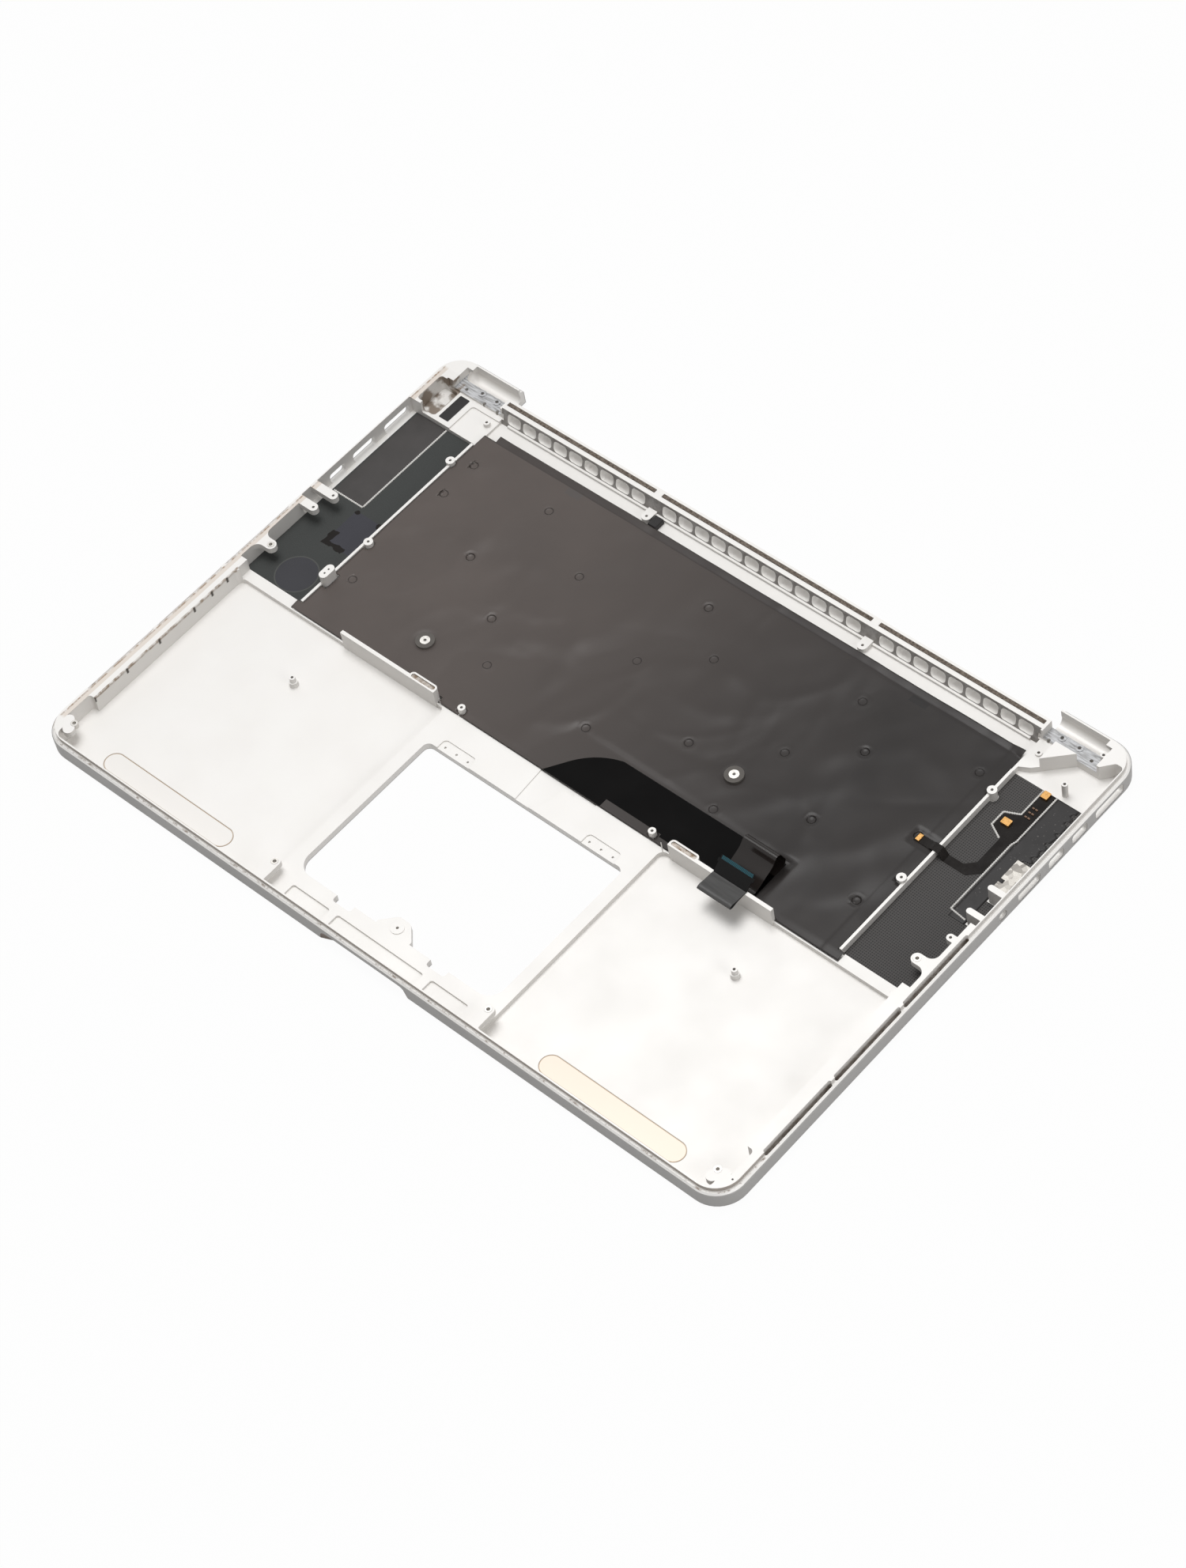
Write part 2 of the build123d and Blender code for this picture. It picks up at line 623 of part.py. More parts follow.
    # Tall ribs with the clip housings at their inner ends
    with BuildSketch(Plane.XY.offset(SKIN)):
        for side in (-1, 1):
            panel(side * TALL_RIB_START, side * TALL_RIB_END, rib_front, rib_back)
        with Locations(*clip_places):
            SlotOverall(CLIP_HOUSING_LENGTH, CLIP_HOUSING_WIDTH)
    extrude(amount=TALL_RIB_TOP - SKIN)
    with BuildSketch(Plane.XY.offset(TALL_RIB_TOP - CLIP_DEPTH)):
        with Locations(*clip_places):
            SlotOverall(CLIP_LENGTH, CLIP_WIDTH)
    extrude(amount=above, mode=Mode.SUBTRACT)

    # Thin ears for the threaded inserts and screws, level with the lip and clear of the floor
    with BuildSketch(Plane.XY.offset(lip_top - EAR_THICKNESS)) as thin_ears:
        for side in (-1, 1):
            x, y = corner_insert
            ear(side * x, y, side * (x + CORNER_EAR_RUN), y - CORNER_EAR_RUN, EAR_RADIUS)
            x, y = middle_insert
            tongue(side * x, y, side * x, front_in - EAR_GRIP, EAR_RADIUS)
            x, y = side_insert
            tongue(side * x, y, side * (speaker_outer + EAR_GRIP), y, EAR_RADIUS)
            root_half = EAR_RADIUS + SIDE_EAR_ROUND + EAR_GRIP
            panel(side * speaker_outer, side * (speaker_outer + EAR_GRIP), y - root_half, y + root_half)
        for x, y in left_ears:
            tongue(x, y, -port_outer - EAR_GRIP, y, LEFT_EAR_RADIUS)
        x, y = right_ring
        tongue(x, y, speaker_outer + EAR_GRIP, y, RIGHT_RING_RADIUS)
        roots = [
            corner for corner in thin_ears.vertices()
            if abs(abs(corner.X) - speaker_outer) < REST_GAP and abs(corner.Y) < EAR_RADIUS + REST_GAP
        ]
        fillet(roots, SIDE_EAR_ROUND)
    extrude(amount=EAR_THICKNESS)

    # Port arms and the oval post, standing on the floor and level with the lip
    with BuildSketch(Plane.XY.offset(SKIN)):
        for x, y in right_arms:
            tongue(x, y, port_outer + EAR_GRIP, y, ARM_RADIUS)
        ear(oval_post_x, OVAL_POST_FRONT, oval_post_x, OVAL_POST_REAR, RIB_BOSS_RADIUS)
    extrude(amount=lip_top - SKIN)

    # Bosses of the ribs, ring posts and shouldered well posts
    with BuildSketch(Plane.XY.offset(SKIN)):
        discs(rib_bosses, RIB_BOSS_RADIUS)
    extrude(amount=RIB_BOSS_TOP - SKIN)
    with BuildSketch(Plane.XY.offset(SKIN)):
        discs(ring_posts, RING_POST_RADIUS)
    extrude(amount=RING_POST_TOP - SKIN)
    with BuildSketch(Plane.XY.offset(SKIN)):
        discs(well_posts, WELL_POST_RADIUS)
    extrude(amount=WELL_POST_SHOULDER - SKIN)
    with BuildSketch(Plane.XY.offset(SKIN)):
        discs(well_posts, WELL_POST_NECK)
    extrude(amount=WELL_POST_TOP - SKIN)

    # Raised rings on the hinge plates, the shelf bosses and the tall posts of the right bay
    with BuildSketch(Plane.XY.offset(PLATE_HEIGHT)):
        for side in (-1, 1):
            rings = [(side * (ear_inner + x), plate_front_y + y) for x, y in PLATE_RINGS]
            discs(rings, PLATE_RING_RADIUS)
    extrude(amount=PLATE_RING_HEIGHT)
    with BuildSketch(Plane.XY.offset(SKIN)):
        discs(bay_posts, BAY_POST_RADIUS)
    extrude(amount=RIM_HEIGHT)
    with BuildSketch(Plane.XY.offset(web_top)):
        discs(shelf_bosses, SHELF_BOSS_RADIUS)
    extrude(amount=SHELF_BOSS_TOP - web_top)

    # Screw tabs that reach forward from the solid parts of the bar
    tab_x = (WINDOW_PITCH_MIDDLE * MIDDLE_WINDOWS / 2 + SIDE_GROUP_START) / 2
    tab_holes = [(-tab_x, pocket_rear - TAB_REACH), (tab_x, pocket_rear - TAB_REACH)]
    with BuildSketch(Plane.XY.offset(web_top)):
        for x, y in tab_holes:
            ear(x, y, x, pocket_rear + 1, TAB_RADIUS)
    extrude(amount=TAB_HEIGHT)

    # Trackpad opening with its front tongue and side notches
    with BuildSketch() as pad_opening:
        panel(-pad_half, pad_half, pad_front, pad_rear)
        fillet(pad_opening.vertices().group_by(Axis.Y)[-1], PAD_REAR_RADIUS)
        fillet(pad_opening.vertices().group_by(Axis.Y)[0], PAD_FRONT_RADIUS)
        for side in (-1, 1):
            notch_start = side * (NOTCH_CENTRE - NOTCH_HALF)
            notch_end = side * (NOTCH_CENTRE + NOTCH_HALF)
            panel(notch_start, notch_end, pad_front - NOTCH_DEPTH, pad_front + NOTCH_DEPTH, NOTCH_ROUND)
        with BuildSketch(mode=Mode.SUBTRACT) as tongue:
            outline((
                (-TONGUE_HALF, pad_front - 1),
                (-TONGUE_HALF, pad_front + TONGUE_NECK),
                (-TONGUE_TIP_HALF, pad_front + TONGUE_REACH),
                (TONGUE_TIP_HALF, pad_front + TONGUE_REACH),
                (TONGUE_HALF, pad_front + TONGUE_NECK),
                (TONGUE_HALF, pad_front - 1),
            ))
            fillet(tongue.vertices().group_by(Axis.Y)[-1], TONGUE_ROUND)
    extrude(amount=above, mode=Mode.SUBTRACT)
    tongue_hole = (0, pad_front + TONGUE_RING)
    with BuildSketch(Plane.XY.offset(FRAME_HEIGHT)):
        discs([tongue_hole], TONGUE_RING)
    extrude(amount=TONGUE_RING_HEIGHT)

    # Shallow seats round the opening: flexures, front strips and the cable way to the keyboard
    with BuildSketch(Plane.XY.offset(FRAME_HEIGHT - FLEXURE_DEPTH)):
        for side in (-1, 1):
            left = side * FLEXURE_CENTRE - FLEXURE_WIDTH / 2
            panel(left, left + FLEXURE_WIDTH, pad_rear - 2, pad_rear + FLEXURE_REACH, FLEXURE_ROUND)
    extrude(amount=FLEXURE_DEPTH, mode=Mode.SUBTRACT)
    with BuildSketch(Plane.XY.offset(FRAME_HEIGHT - STRIP_POCKET_DEPTH)):
        for left, right in STRIP_POCKETS:
            panel(left, right, front_in, -half_d + STRIP_POCKET_REAR, NOTCH_ROUND)
    extrude(amount=STRIP_POCKET_DEPTH, mode=Mode.SUBTRACT)
    with BuildSketch(Plane.XY.offset(FRAME_HEIGHT - CABLE_RECESS_DEPTH)):
        with BuildLine():
            way = Polyline(
                (7.0, pocket_front - 2.5),
                (12.5, pocket_front - 2.5),
                (13.0, pocket_front - 1.0),
                (23.0, pocket_front - 1.0),
                (23.0, pocket_front + 1),
                (-6.0, pocket_front + 1),
                (-4.7, pad_rear - 1),
                (1.0, pad_rear - 1),
            )
            RadiusArc(way @ 1, way @ 0, -CABLE_RECESS_ARC)
        make_face()
    extrude(amount=CABLE_RECESS_DEPTH, mode=Mode.SUBTRACT)

    # Seats of the palm rest inlays
    inlay_y = -half_d + INLAY_FRONT
    inlay_places = [(-INLAY_X, inlay_y), (INLAY_X, inlay_y)]
    with BuildSketch(Plane.XY.offset(SKIN - INLAY_DEPTH)):
        with Locations(*inlay_places):
            SlotOverall(INLAY_LENGTH, INLAY_WIDTH)
    extrude(amount=INLAY_DEPTH, mode=Mode.SUBTRACT)

    # Cooling slots along both side ledges
    slot_x = half_w - SLOT_EDGE - SLOT_WIDTH / 2
    with BuildSketch(Plane.XY.offset(RIM_HEIGHT - SLOT_DEPTH)):
        with Locations((-slot_x, SLOT_MIDDLE_Y), (slot_x, SLOT_MIDDLE_Y)):
            with GridLocations(0, SLOT_PITCH, 1, SLOT_COUNT):
                SlotOverall(SLOT_LENGTH, SLOT_WIDTH, rotation=90)
    extrude(amount=above, mode=Mode.SUBTRACT)

    # Thumb scoop under the front edge, running out in a slope on all sides
    with BuildSketch(Plane.XZ.offset(half_d)):
        RectangleRounded(2 * SCOOP_HALF, 2 * SCOOP_HEIGHT, SCOOP_ROUND)
    with BuildSketch(Plane.XZ.offset(half_d - SCOOP_REACH)):
        RectangleRounded(2 * (SCOOP_HALF - SCOOP_RUN_OUT), 2 * FIT_PLAY, FIT_PLAY / 2)
    loft(mode=Mode.SUBTRACT)

    # Sockets in both side walls
    port_z = PORT_SILL + PORT_HEIGHT / 2
    with BuildSketch(Plane.YZ.offset(half_w + 1)):
        for back, length in RIGHT_PORTS:
            with Locations((rear_edge - back, port_z)):
                RectangleRounded(length, PORT_HEIGHT, PORT_ROUND)
        discs([(rear_edge - JACK_BACK, port_z)], JACK_RADIUS)
    extrude(amount=-PORT_WALL - 2, mode=Mode.SUBTRACT)
    with BuildSketch(Plane.YZ.offset(-half_w - 1)):
        for back, length in LEFT_PORTS:
            with Locations((rear_edge - back, port_z)):
                RectangleRounded(length, PORT_HEIGHT, PORT_ROUND)
    extrude(amount=PORT_WALL + 2, mode=Mode.SUBTRACT)

    # Seats of the threaded inserts and all small screw holes
    with BuildSketch(Plane.XY.offset(lip_top - INSERT_LENGTH)):
        discs(insert_seats, INSERT_RADIUS)
    extrude(amount=above, mode=Mode.SUBTRACT)
    with BuildSketch(Plane.XY.offset(web_top)):
        discs(well_posts + rib_bosses + shelf_bosses + bay_posts + tab_holes, SMALL_HOLE)
        discs(ring_posts + left_ears + [right_ring, tongue_hole], SMALL_HOLE)
        for side in (-1, 1):
            with Locations((side * FLEXURE_CENTRE, pad_rear + FLEXURE_HOLE_BACK)):
                with GridLocations(FLEXURE_HOLE_PITCH, 0, 3, 1):
                    Circle(FLEXURE_HOLE_RADIUS)
            holes = [(side * (ear_inner + x), plate_front_y + y) for x, y in PLATE_RINGS + PLATE_HOLES]
            discs(holes, PLATE_HOLE)
        discs([(half_w - PIN_HOLE_SIDE, corner_insert[1])], PIN_HOLE)
        oval_hole_y = [OVAL_POST_FRONT + SMALL_HOLE, OVAL_POST_REAR - SMALL_HOLE]
        discs([(oval_post_x, y) for y in oval_hole_y], OVAL_POST_HOLE)
    extrude(amount=above, mode=Mode.SUBTRACT)

    # Shallow outer well for the keys, one window for each key and the drilled bosses between the rows
    with BuildSketch():
        well_half = field_width / 2 + WELL_MARGIN
        panel(-well_half, well_half, keys_front - WELL_MARGIN, keys_rear + WELL_MARGIN, WELL_CORNER)
    extrude(amount=WELL_RECESS, mode=Mode.SUBTRACT)
    with BuildSketch():
        key_faces(all_keys, KEY_CLEARANCE, KEY_CORNER)
    extrude(amount=web_top, mode=Mode.SUBTRACT)
    with BuildSketch(Plane.XY.offset(web_top)):
        discs(screw_seats, BOSS_RADIUS)
        discs(screw_seats, SCREW_RADIUS + SCREW_PLAY, Mode.SUBTRACT)
    extrude(amount=carrier_z - web_top)
top_case.part.label = "top_case"
export_step(top_case.part, "parts/top_case.step")

# Moving keys: thin caps, hollow inside, with a chamfered touch face
for name, cap in moving_keys:
    with BuildPart() as key:
        with BuildSketch(Plane.XY.offset(KEY_TOP_RECESS)):
            key_faces([cap], 0, KEY_CORNER)
        extrude(amount=KEY_CAP_HEIGHT)
        chamfer(key.faces().sort_by(Axis.Z)[0].edges(), KEY_CAP_CHAMFER)
        with BuildSketch(Plane.XY.offset(KEY_TOP_RECESS + KEY_CAP_SKIN)):
            key_faces([cap], -KEY_CAP_WALL, KEY_CORNER)
        extrude(amount=KEY_CAP_HEIGHT, mode=Mode.SUBTRACT)
    key.part.label = name
    export_step(key.part, "parts/" + name + ".step")

sheet_half = field_width / 2 - SHEET_MARGIN
sheet_front = keys_front - SHEET_REACH
sheet_rear = keys_rear + SHEET_REACH

# Key carrier: the switch sheet with its rubber domes, and the other keys standing on their stems
with BuildPart() as key_carrier:
    with BuildSketch(Plane.XY.offset(KEY_TOP_RECESS)):
        key_faces(fixed_keys, 0, KEY_CORNER)
    extrude(amount=KEY_CAP_HEIGHT)
    chamfer(key_carrier.faces().group_by(Axis.Z)[0].edges(), KEY_CAP_CHAMFER)
    with BuildSketch(Plane.XY.offset(KEY_TOP_RECESS + KEY_CAP_SKIN)):
        key_faces(fixed_keys, -KEY_CAP_WALL, KEY_CORNER)
    extrude(amount=KEY_CAP_HEIGHT, mode=Mode.SUBTRACT)
    with BuildSketch(Plane.XY.offset(KEY_TOP_RECESS + KEY_CAP_SKIN)):
        discs([(x, y) for x, y, width, depth in fixed_keys], STEM_RADIUS)
    extrude(amount=carrier_z - KEY_TOP_RECESS - KEY_CAP_SKIN)
    with BuildSketch(Plane.XY.offset(carrier_z)):
        panel(-sheet_half, sheet_half, sheet_front, sheet_rear)
        discs(screw_seats, SCREW_RADIUS + SCREW_PLAY, Mode.SUBTRACT)
    extrude(amount=CARRIER_SHEET)
    dome_middle = (carrier_z + dome_top) / 2
    with Locations(*[(x, y, dome_middle) for name, (x, y, width, depth) in moving_keys]):
        Cone(DOME_TOP_RADIUS, DOME_RADIUS, carrier_z - dome_top)
key_carrier.part.label = "key_carrier"
export_step(key_carrier.part, "parts/key_carrier.step")

# Steel base plate over the switch sheet
with BuildPart() as key_plate:
    with BuildSketch(Plane.XY.offset(plate_z)):
        panel(-sheet_half, sheet_half, sheet_front, sheet_rear)
        discs(screw_seats, SCREW_RADIUS + SCREW_PLAY, Mode.SUBTRACT)
    extrude(amount=BASE_PLATE)
key_plate.part.label = "key_plate"
export_step(key_plate.part, "parts/key_plate.step")

# Clear light guide, open round the screw heads and the two standoffs
with BuildPart() as backlight_guide:
    with BuildSketch(Plane.XY.offset(guide_z)):
        panel(-sheet_half, sheet_half, sheet_front, sheet_rear)
        discs(screw_seats, SCREW_HEAD_RADIUS + FIT_PLAY, Mode.SUBTRACT)
        discs(standoff_seats, STANDOFF_RADIUS + FIT_PLAY, Mode.SUBTRACT)
    extrude(amount=LIGHT_GUIDE)
backlight_guide.part.label = "backlight_guide"
export_step(backlight_guide.part, "parts/backlight_guide.step")

# Screws of the base plate, flat heads under the film
with BuildPart() as keyboard_screws:
    with BuildSketch(Plane.XY.offset(guide_z)):
        discs(screw_seats, SCREW_HEAD_RADIUS)
    extrude(amount=SCREW_HEAD)
    with BuildSketch(Plane.XY.offset(guide_z)):
        discs(screw_seats, SCREW_RADIUS)
    extrude(amount=web_top + SCREW_TIP_ROOM - guide_z)
keyboard_screws.part.label = "keyboard_screws"
export_step(keyboard_screws.part, "parts/keyboard_screws.step")

# Dark cover film over the whole keyboard, cut out round the posts and ribs
film_half = pocket_half - FIT_PLAY
film_front = pocket_front + REST_GAP
film_rear = keys_rear + FILM_REACH
with BuildPart() as keyboard_cover_film:
    with BuildSketch(Plane.XY.offset(film_z)):
        panel(-film_half, film_half, film_front, film_rear)
        panel(-wing_half + FIT_PLAY, wing_half - FIT_PLAY, film_front, speaker_front - FIT_PLAY)
        for side in (-1, 1):
            start = side * (TALL_RIB_START - FIT_PLAY)
            end = side * (TALL_RIB_END + FIT_PLAY)
            clip_end = start + side * (CLIP_HOUSING_LENGTH + 2 * FIT_PLAY)
            panel(start, end, rib_front, rib_back + FIT_PLAY, mode=Mode.SUBTRACT)
            panel(start, clip_end, rib_front, housing_back + FIT_PLAY, mode=Mode.SUBTRACT)
        discs(standoff_seats, STANDOFF_RADIUS + FIT_PLAY, Mode.SUBTRACT)
        discs(ring_posts, RING_POST_RADIUS + FIT_PLAY, Mode.SUBTRACT)
        discs(rib_bosses, RIB_BOSS_RADIUS + FIT_PLAY, Mode.SUBTRACT)
        post_clear = RIB_BOSS_RADIUS + FIT_PLAY
        post_front = OVAL_POST_FRONT - post_clear
        post_rear = OVAL_POST_REAR + post_clear
        panel(-pocket_half, oval_post_x + post_clear, post_front, post_rear, mode=Mode.SUBTRACT)
    extrude(amount=COVER_FILM)
keyboard_cover_film.part.label = "keyboard_cover_film"
export_step(keyboard_cover_film.part, "parts/keyboard_cover_film.step")

# Two turned standoffs on the base plate
with BuildPart() as film_standoffs:
    with BuildSketch(Plane.XY.offset(guide_z)):
        discs(standoff_seats, STANDOFF_RADIUS)
        discs(standoff_seats, STANDOFF_BORE, Mode.SUBTRACT)
    extrude(amount=STANDOFF_TOP - guide_z)
film_standoffs.part.label = "film_standoffs"
export_step(film_standoffs.part, "parts/film_standoffs.step")

# Thick grey washers round the standoffs, on the film
with BuildPart() as film_washers:
    with BuildSketch(Plane.XY.offset(film_top)):
        discs(standoff_seats, WASHER_RADIUS)
        discs(standoff_seats, STANDOFF_RADIUS + SCREW_PLAY, Mode.SUBTRACT)
    extrude(amount=WASHER_THICKNESS)
film_washers.part.label = "film_washers"
export_step(film_washers.part, "parts/film_washers.step")

# Keyboard ribbon: flat flex from the front slot, round a bend and along the film to the folded end
tail_left = TALL_RIB_START + TAIL_START
tail_right = tail_left + TAIL_WIDTH
ribbon_rear = film_front + RIBBON_REACH
ring_right = RING_POST_X + RING_POST_RADIUS + 1
ring_clear = ring_post_y + RING_POST_RADIUS + FIT_PLAY
ribbon_front = housing_back + 2 * FIT_PLAY
with BuildPart() as keyboard_ribbon:
    with BuildSketch(Plane.XY.offset(film_top)):
        with BuildLine():
            side_line = Line((RIBBON_LEFT, film_front), (RIBBON_LEFT + 5.9, film_front + 8.9))
            bend = TangentArc(side_line @ 1, (RIBBON_RIGHT - 6, ribbon_rear - 0.4), tangent=side_line % 1)
            Polyline(
                bend @ 1,
                (tail_right, ribbon_rear),
                (tail_right, ribbon_front),
                (ring_right, ribbon_front),
                (ring_right, ring_clear),
                (RIBBON_RIGHT, ring_clear),
                (RIBBON_RIGHT, film_front),
                side_line @ 0,
            )
        make_face()
    extrude(amount=RIBBON_THICKNESS)
keyboard_ribbon.part.label = "keyboard_ribbon"
export_step(keyboard_ribbon.part, "parts/keyboard_ribbon.step")

# Ribbon tail: loops up at the ribbon's end, sags forward over the ribbon and climbs onto the tall rib
ribbon_top = film_top + RIBBON_THICKNESS
tail_lift = TALL_RIB_TOP + REST_GAP
tail_line_z = tail_lift + TAIL_THICKNESS
loop_rear = rib_back + LOOP_REACH
loop_top = ribbon_top + LOOP_HEIGHT
sag = ribbon_top + LOOP_SAG
tail_foot = loop_rear - LOOP_FOOT
tail_plane = Plane.YZ.offset(tail_left)
tail_line = Spline(
    (tail_foot, ribbon_top),
    (loop_rear, ribbon_top + 0.28 * LOOP_HEIGHT),
    (loop_rear - 0.9, ribbon_top + 0.62 * LOOP_HEIGHT),
    (loop_rear - 2.6, loop_top - 0.4),
    (loop_rear - 3.9, loop_top),
    (loop_rear - 6.3, loop_top - 2.1),
    (loop_rear - 11.3, sag + 0.28 * LOOP_HEIGHT),
    (loop_rear - 16.3, sag + 0.3),
    (loop_rear - 18.6, sag),
    (rib_back + 1.3, sag + 1.3),
    (rib_back + 0.8, tail_lift - 2.0),
    (rib_back + 0.5, tail_lift - 0.3),
    (rib_back - 0.1, tail_line_z + 0.1),
    (rib_y, tail_line_z),
    tangents=((1, 0), (-1, 0)),
    tangent_scalars=(1, 1),
)
with BuildPart() as ribbon_tail:
    with BuildSketch(tail_plane):
        strip(tail_line, TAIL_THICKNESS, lead=TAIL_FOOT_RUN)
    extrude(amount=TAIL_WIDTH)
ribbon_tail.part.label = "ribbon_tail"
export_step(ribbon_tail.part, "parts/ribbon_tail.step")

# Satin tape: the ribbon's own end, that runs forward from the rib, rolls over and comes back above itself
roll_y = rib_front - TAPE_REACH + TAPE_ROLL
roll_z = tail_line_z + TAPE_ROLL - TAPE_DROOP
tape_line = Spline(
    (rib_y, tail_line_z),
    (rib_front - 1.0, tail_line_z),
    (roll_y + TAPE_ROLL_RUN, roll_z - 0.75 * TAPE_ROLL),
    (roll_y, roll_z - TAPE_ROLL),
    (roll_y - TAPE_ROLL, roll_z),
    (roll_y, roll_z + TAPE_ROLL),
    (roll_y + TAPE_ROLL_RUN, roll_z + TAPE_ROLL),
    (rib_front - 1.0, tail_line_z + TAPE_GAP),
    (rib_y, tail_line_z + TAPE_GAP / 2),
    tangents=((-1, 0), (1, 0)),
    tangent_scalars=(1, 1),
)
with BuildPart() as ribbon_tape:
    with BuildSketch(tail_plane):
        strip(tape_line, TAIL_THICKNESS)
    extrude(amount=TAIL_WIDTH)
ribbon_tape.part.label = "ribbon_tape"
export_step(ribbon_tape.part, "parts/ribbon_tape.step")

# Black stiffener behind the contacts, standing up from the rib at a slant, with an ear on each side
stiffener_foot = Vector(rib_y + STIFFENER_THICKNESS, tail_line_z + REST_GAP)
stiffener_run = (STIFFENER_LENGTH ** 2 - STIFFENER_RISE ** 2) ** 0.5
stiffener_slope = Vector(stiffener_run, STIFFENER_RISE) / STIFFENER_LENGTH
contact_start = stiffener_foot + stiffener_slope * (STIFFENER_LENGTH - CONTACT_LENGTH)
stiffener_end = stiffener_foot + stiffener_slope * STIFFENER_LENGTH
ear_start = contact_start - stiffener_slope * CONTACT_LENGTH
stiffener_line = Line(stiffener_foot, stiffener_end)
ear_line = Line(ear_start, contact_start)
with BuildPart() as ribbon_stiffener:
    with BuildSketch(tail_plane):
        strip(stiffener_line, STIFFENER_THICKNESS, 1)
    extrude(amount=TAIL_WIDTH)
    with BuildSketch(Plane.YZ.offset(tail_left - STIFFENER_EAR)):
        strip(ear_line, STIFFENER_THICKNESS, 1)
    extrude(amount=TAIL_WIDTH + 2 * STIFFENER_EAR)
ribbon_stiffener.part.label = "ribbon_stiffener"
export_step(ribbon_stiffener.part, "parts/ribbon_stiffener.step")

# Contact strip on the end of the stiffener
face_lift = stiffener_slope.rotate(Axis.Z, 90) * STIFFENER_THICKNESS
contact_line = Line(contact_start + face_lift, stiffener_end + face_lift)
with BuildPart() as ribbon_contacts:
    with BuildSketch(Plane.YZ.offset(tail_left + CONTACT_INSET)):
        strip(contact_line, CONTACT_THICKNESS, 1)
    extrude(amount=TAIL_WIDTH - 2 * CONTACT_INSET)
ribbon_contacts.part.label = "ribbon_contacts"
export_step(ribbon_contacts.part, "parts/ribbon_contacts.step")

# Speaker cloths that line both side wells, cut round the arms and bosses that stand there
mesh_x0 = speaker_inner + MESH_PLAY
mesh_x1 = speaker_outer - MESH_PLAY
mesh_y0 = speaker_front + MESH_PLAY
mesh_y1 = speaker_rear - MESH_PLAY
mesh_top = SKIN + MESH_SHEET
beyond = mesh_x1 + 1
boss_clear = RIB_BOSS_RADIUS + FIT_PLAY
with BuildPart() as right_speaker_cloth:
    with BuildSketch(Plane.XY.offset(SKIN)):
        panel(mesh_x0, mesh_x1, mesh_y0, mesh_y1)
        for x, y in right_arms:
            reach = ARM_RADIUS + FIT_PLAY
            panel(x - reach, beyond, y - reach, y + reach, mode=Mode.SUBTRACT)
        discs(rib_bosses, boss_clear, Mode.SUBTRACT)
    extrude(amount=MESH_SHEET)
right_speaker_cloth.part.label = "right_speaker_cloth"
export_step(right_speaker_cloth.part, "parts/right_speaker_cloth.step")
with BuildPart() as left_speaker_cloth:
    with BuildSketch(Plane.XY.offset(SKIN)):
        panel(-mesh_x1, -mesh_x0, mesh_y0, mesh_y1)
        panel(oval_post_x - boss_clear, -speaker_inner, post_front, post_rear, mode=Mode.SUBTRACT)
        discs(rib_bosses, boss_clear, Mode.SUBTRACT)
    extrude(amount=MESH_SHEET)
left_speaker_cloth.part.label = "left_speaker_cloth"
export_step(left_speaker_cloth.part, "parts/left_speaker_cloth.step")

# Thin dark films over the port side of both cloths
with BuildPart() as port_film:
    with BuildSketch(Plane.XY.offset(mesh_top)):
        film_edge = right_arms[0][0] - ARM_RADIUS - FIT_PLAY
        panel(across_well(0.61), film_edge, mesh_y1 - PORT_FILM_LENGTH, mesh_y1)
        panel(film_edge - 1, film_edge + PORT_FILM_STEP, mesh_y1 - PORT_FILM_WIDE_LENGTH, mesh_y1)
    extrude(amount=THIN_FILM)
port_film.part.label = "port_film"
export_step(port_film.part, "parts/port_film.step")
with BuildPart() as left_film:
    with BuildSketch(Plane.XY.offset(mesh_top)):
        panel(-mesh_x1 + LEFT_FILM_INSET, -across_well(0.48), mesh_y1 - LEFT_FILM_LENGTH, mesh_y1)
    extrude(amount=THIN_FILM)
left_film.part.label = "left_film"
export_step(left_film.part, "parts/left_film.step")

# Microphone flex: a shaped flat on the cloth, then a tongue that climbs over the rib onto the film
flex_y1 = mesh_y1 - 44.5
flex_y0 = flex_y1 - 3.8
flex_foot = across_well(0.11)
flex_left = across_well(0.424)
flex_jog = across_well(0.243)
flex_tail = across_well(0.57)
flex_right = across_well(0.597)
flex_top = mesh_top + FLEX_THICKNESS
tongue_z = film_top + REST_GAP
rib_pass = RIB_HEIGHT + REST_GAP
with BuildPart() as microphone_flex:
    with BuildSketch(Plane.XY.offset(mesh_top)) as flex_flat:
        outline((
            (flex_left, mesh_y1),
            (flex_left, mesh_y1 - 14.3),
            (flex_jog, mesh_y1 - 17.3),
            (flex_jog, mesh_y1 - 23.9),
            (flex_left, mesh_y1 - 26.9),
            (flex_left, flex_y1 + 3.6),
            (flex_left - 3.6, flex_y1),
            (flex_foot, flex_y1),
            (flex_foot, flex_y0),
            (flex_left, flex_y0),
            (flex_tail, flex_y0 + 4.6),
            (flex_tail, mesh_y1 - 26.3),
            (flex_right, mesh_y1 - 24.7),
            (flex_right, mesh_y1),
        ))
        fillet(flex_flat.vertices().sort_by(Axis.X)[2:].sort_by(Axis.Y)[:-2], 0.8)
    extrude(amount=FLEX_THICKNESS)
    with BuildSketch(Plane.XZ.offset(-flex_y0)):
        band(
            (
                (flex_foot, mesh_top),
                (speaker_inner + 1.2, rib_pass),
                (pocket_half - 1.0, rib_pass),
                (pocket_half - 2.4, tongue_z),
                (pocket_half - 9.4, tongue_z),
            ),
            FLEX_THICKNESS,
        )
    extrude(amount=flex_y0 - flex_y1)
microphone_flex.part.label = "microphone_flex"
export_step(microphone_flex.part, "parts/microphone_flex.step")

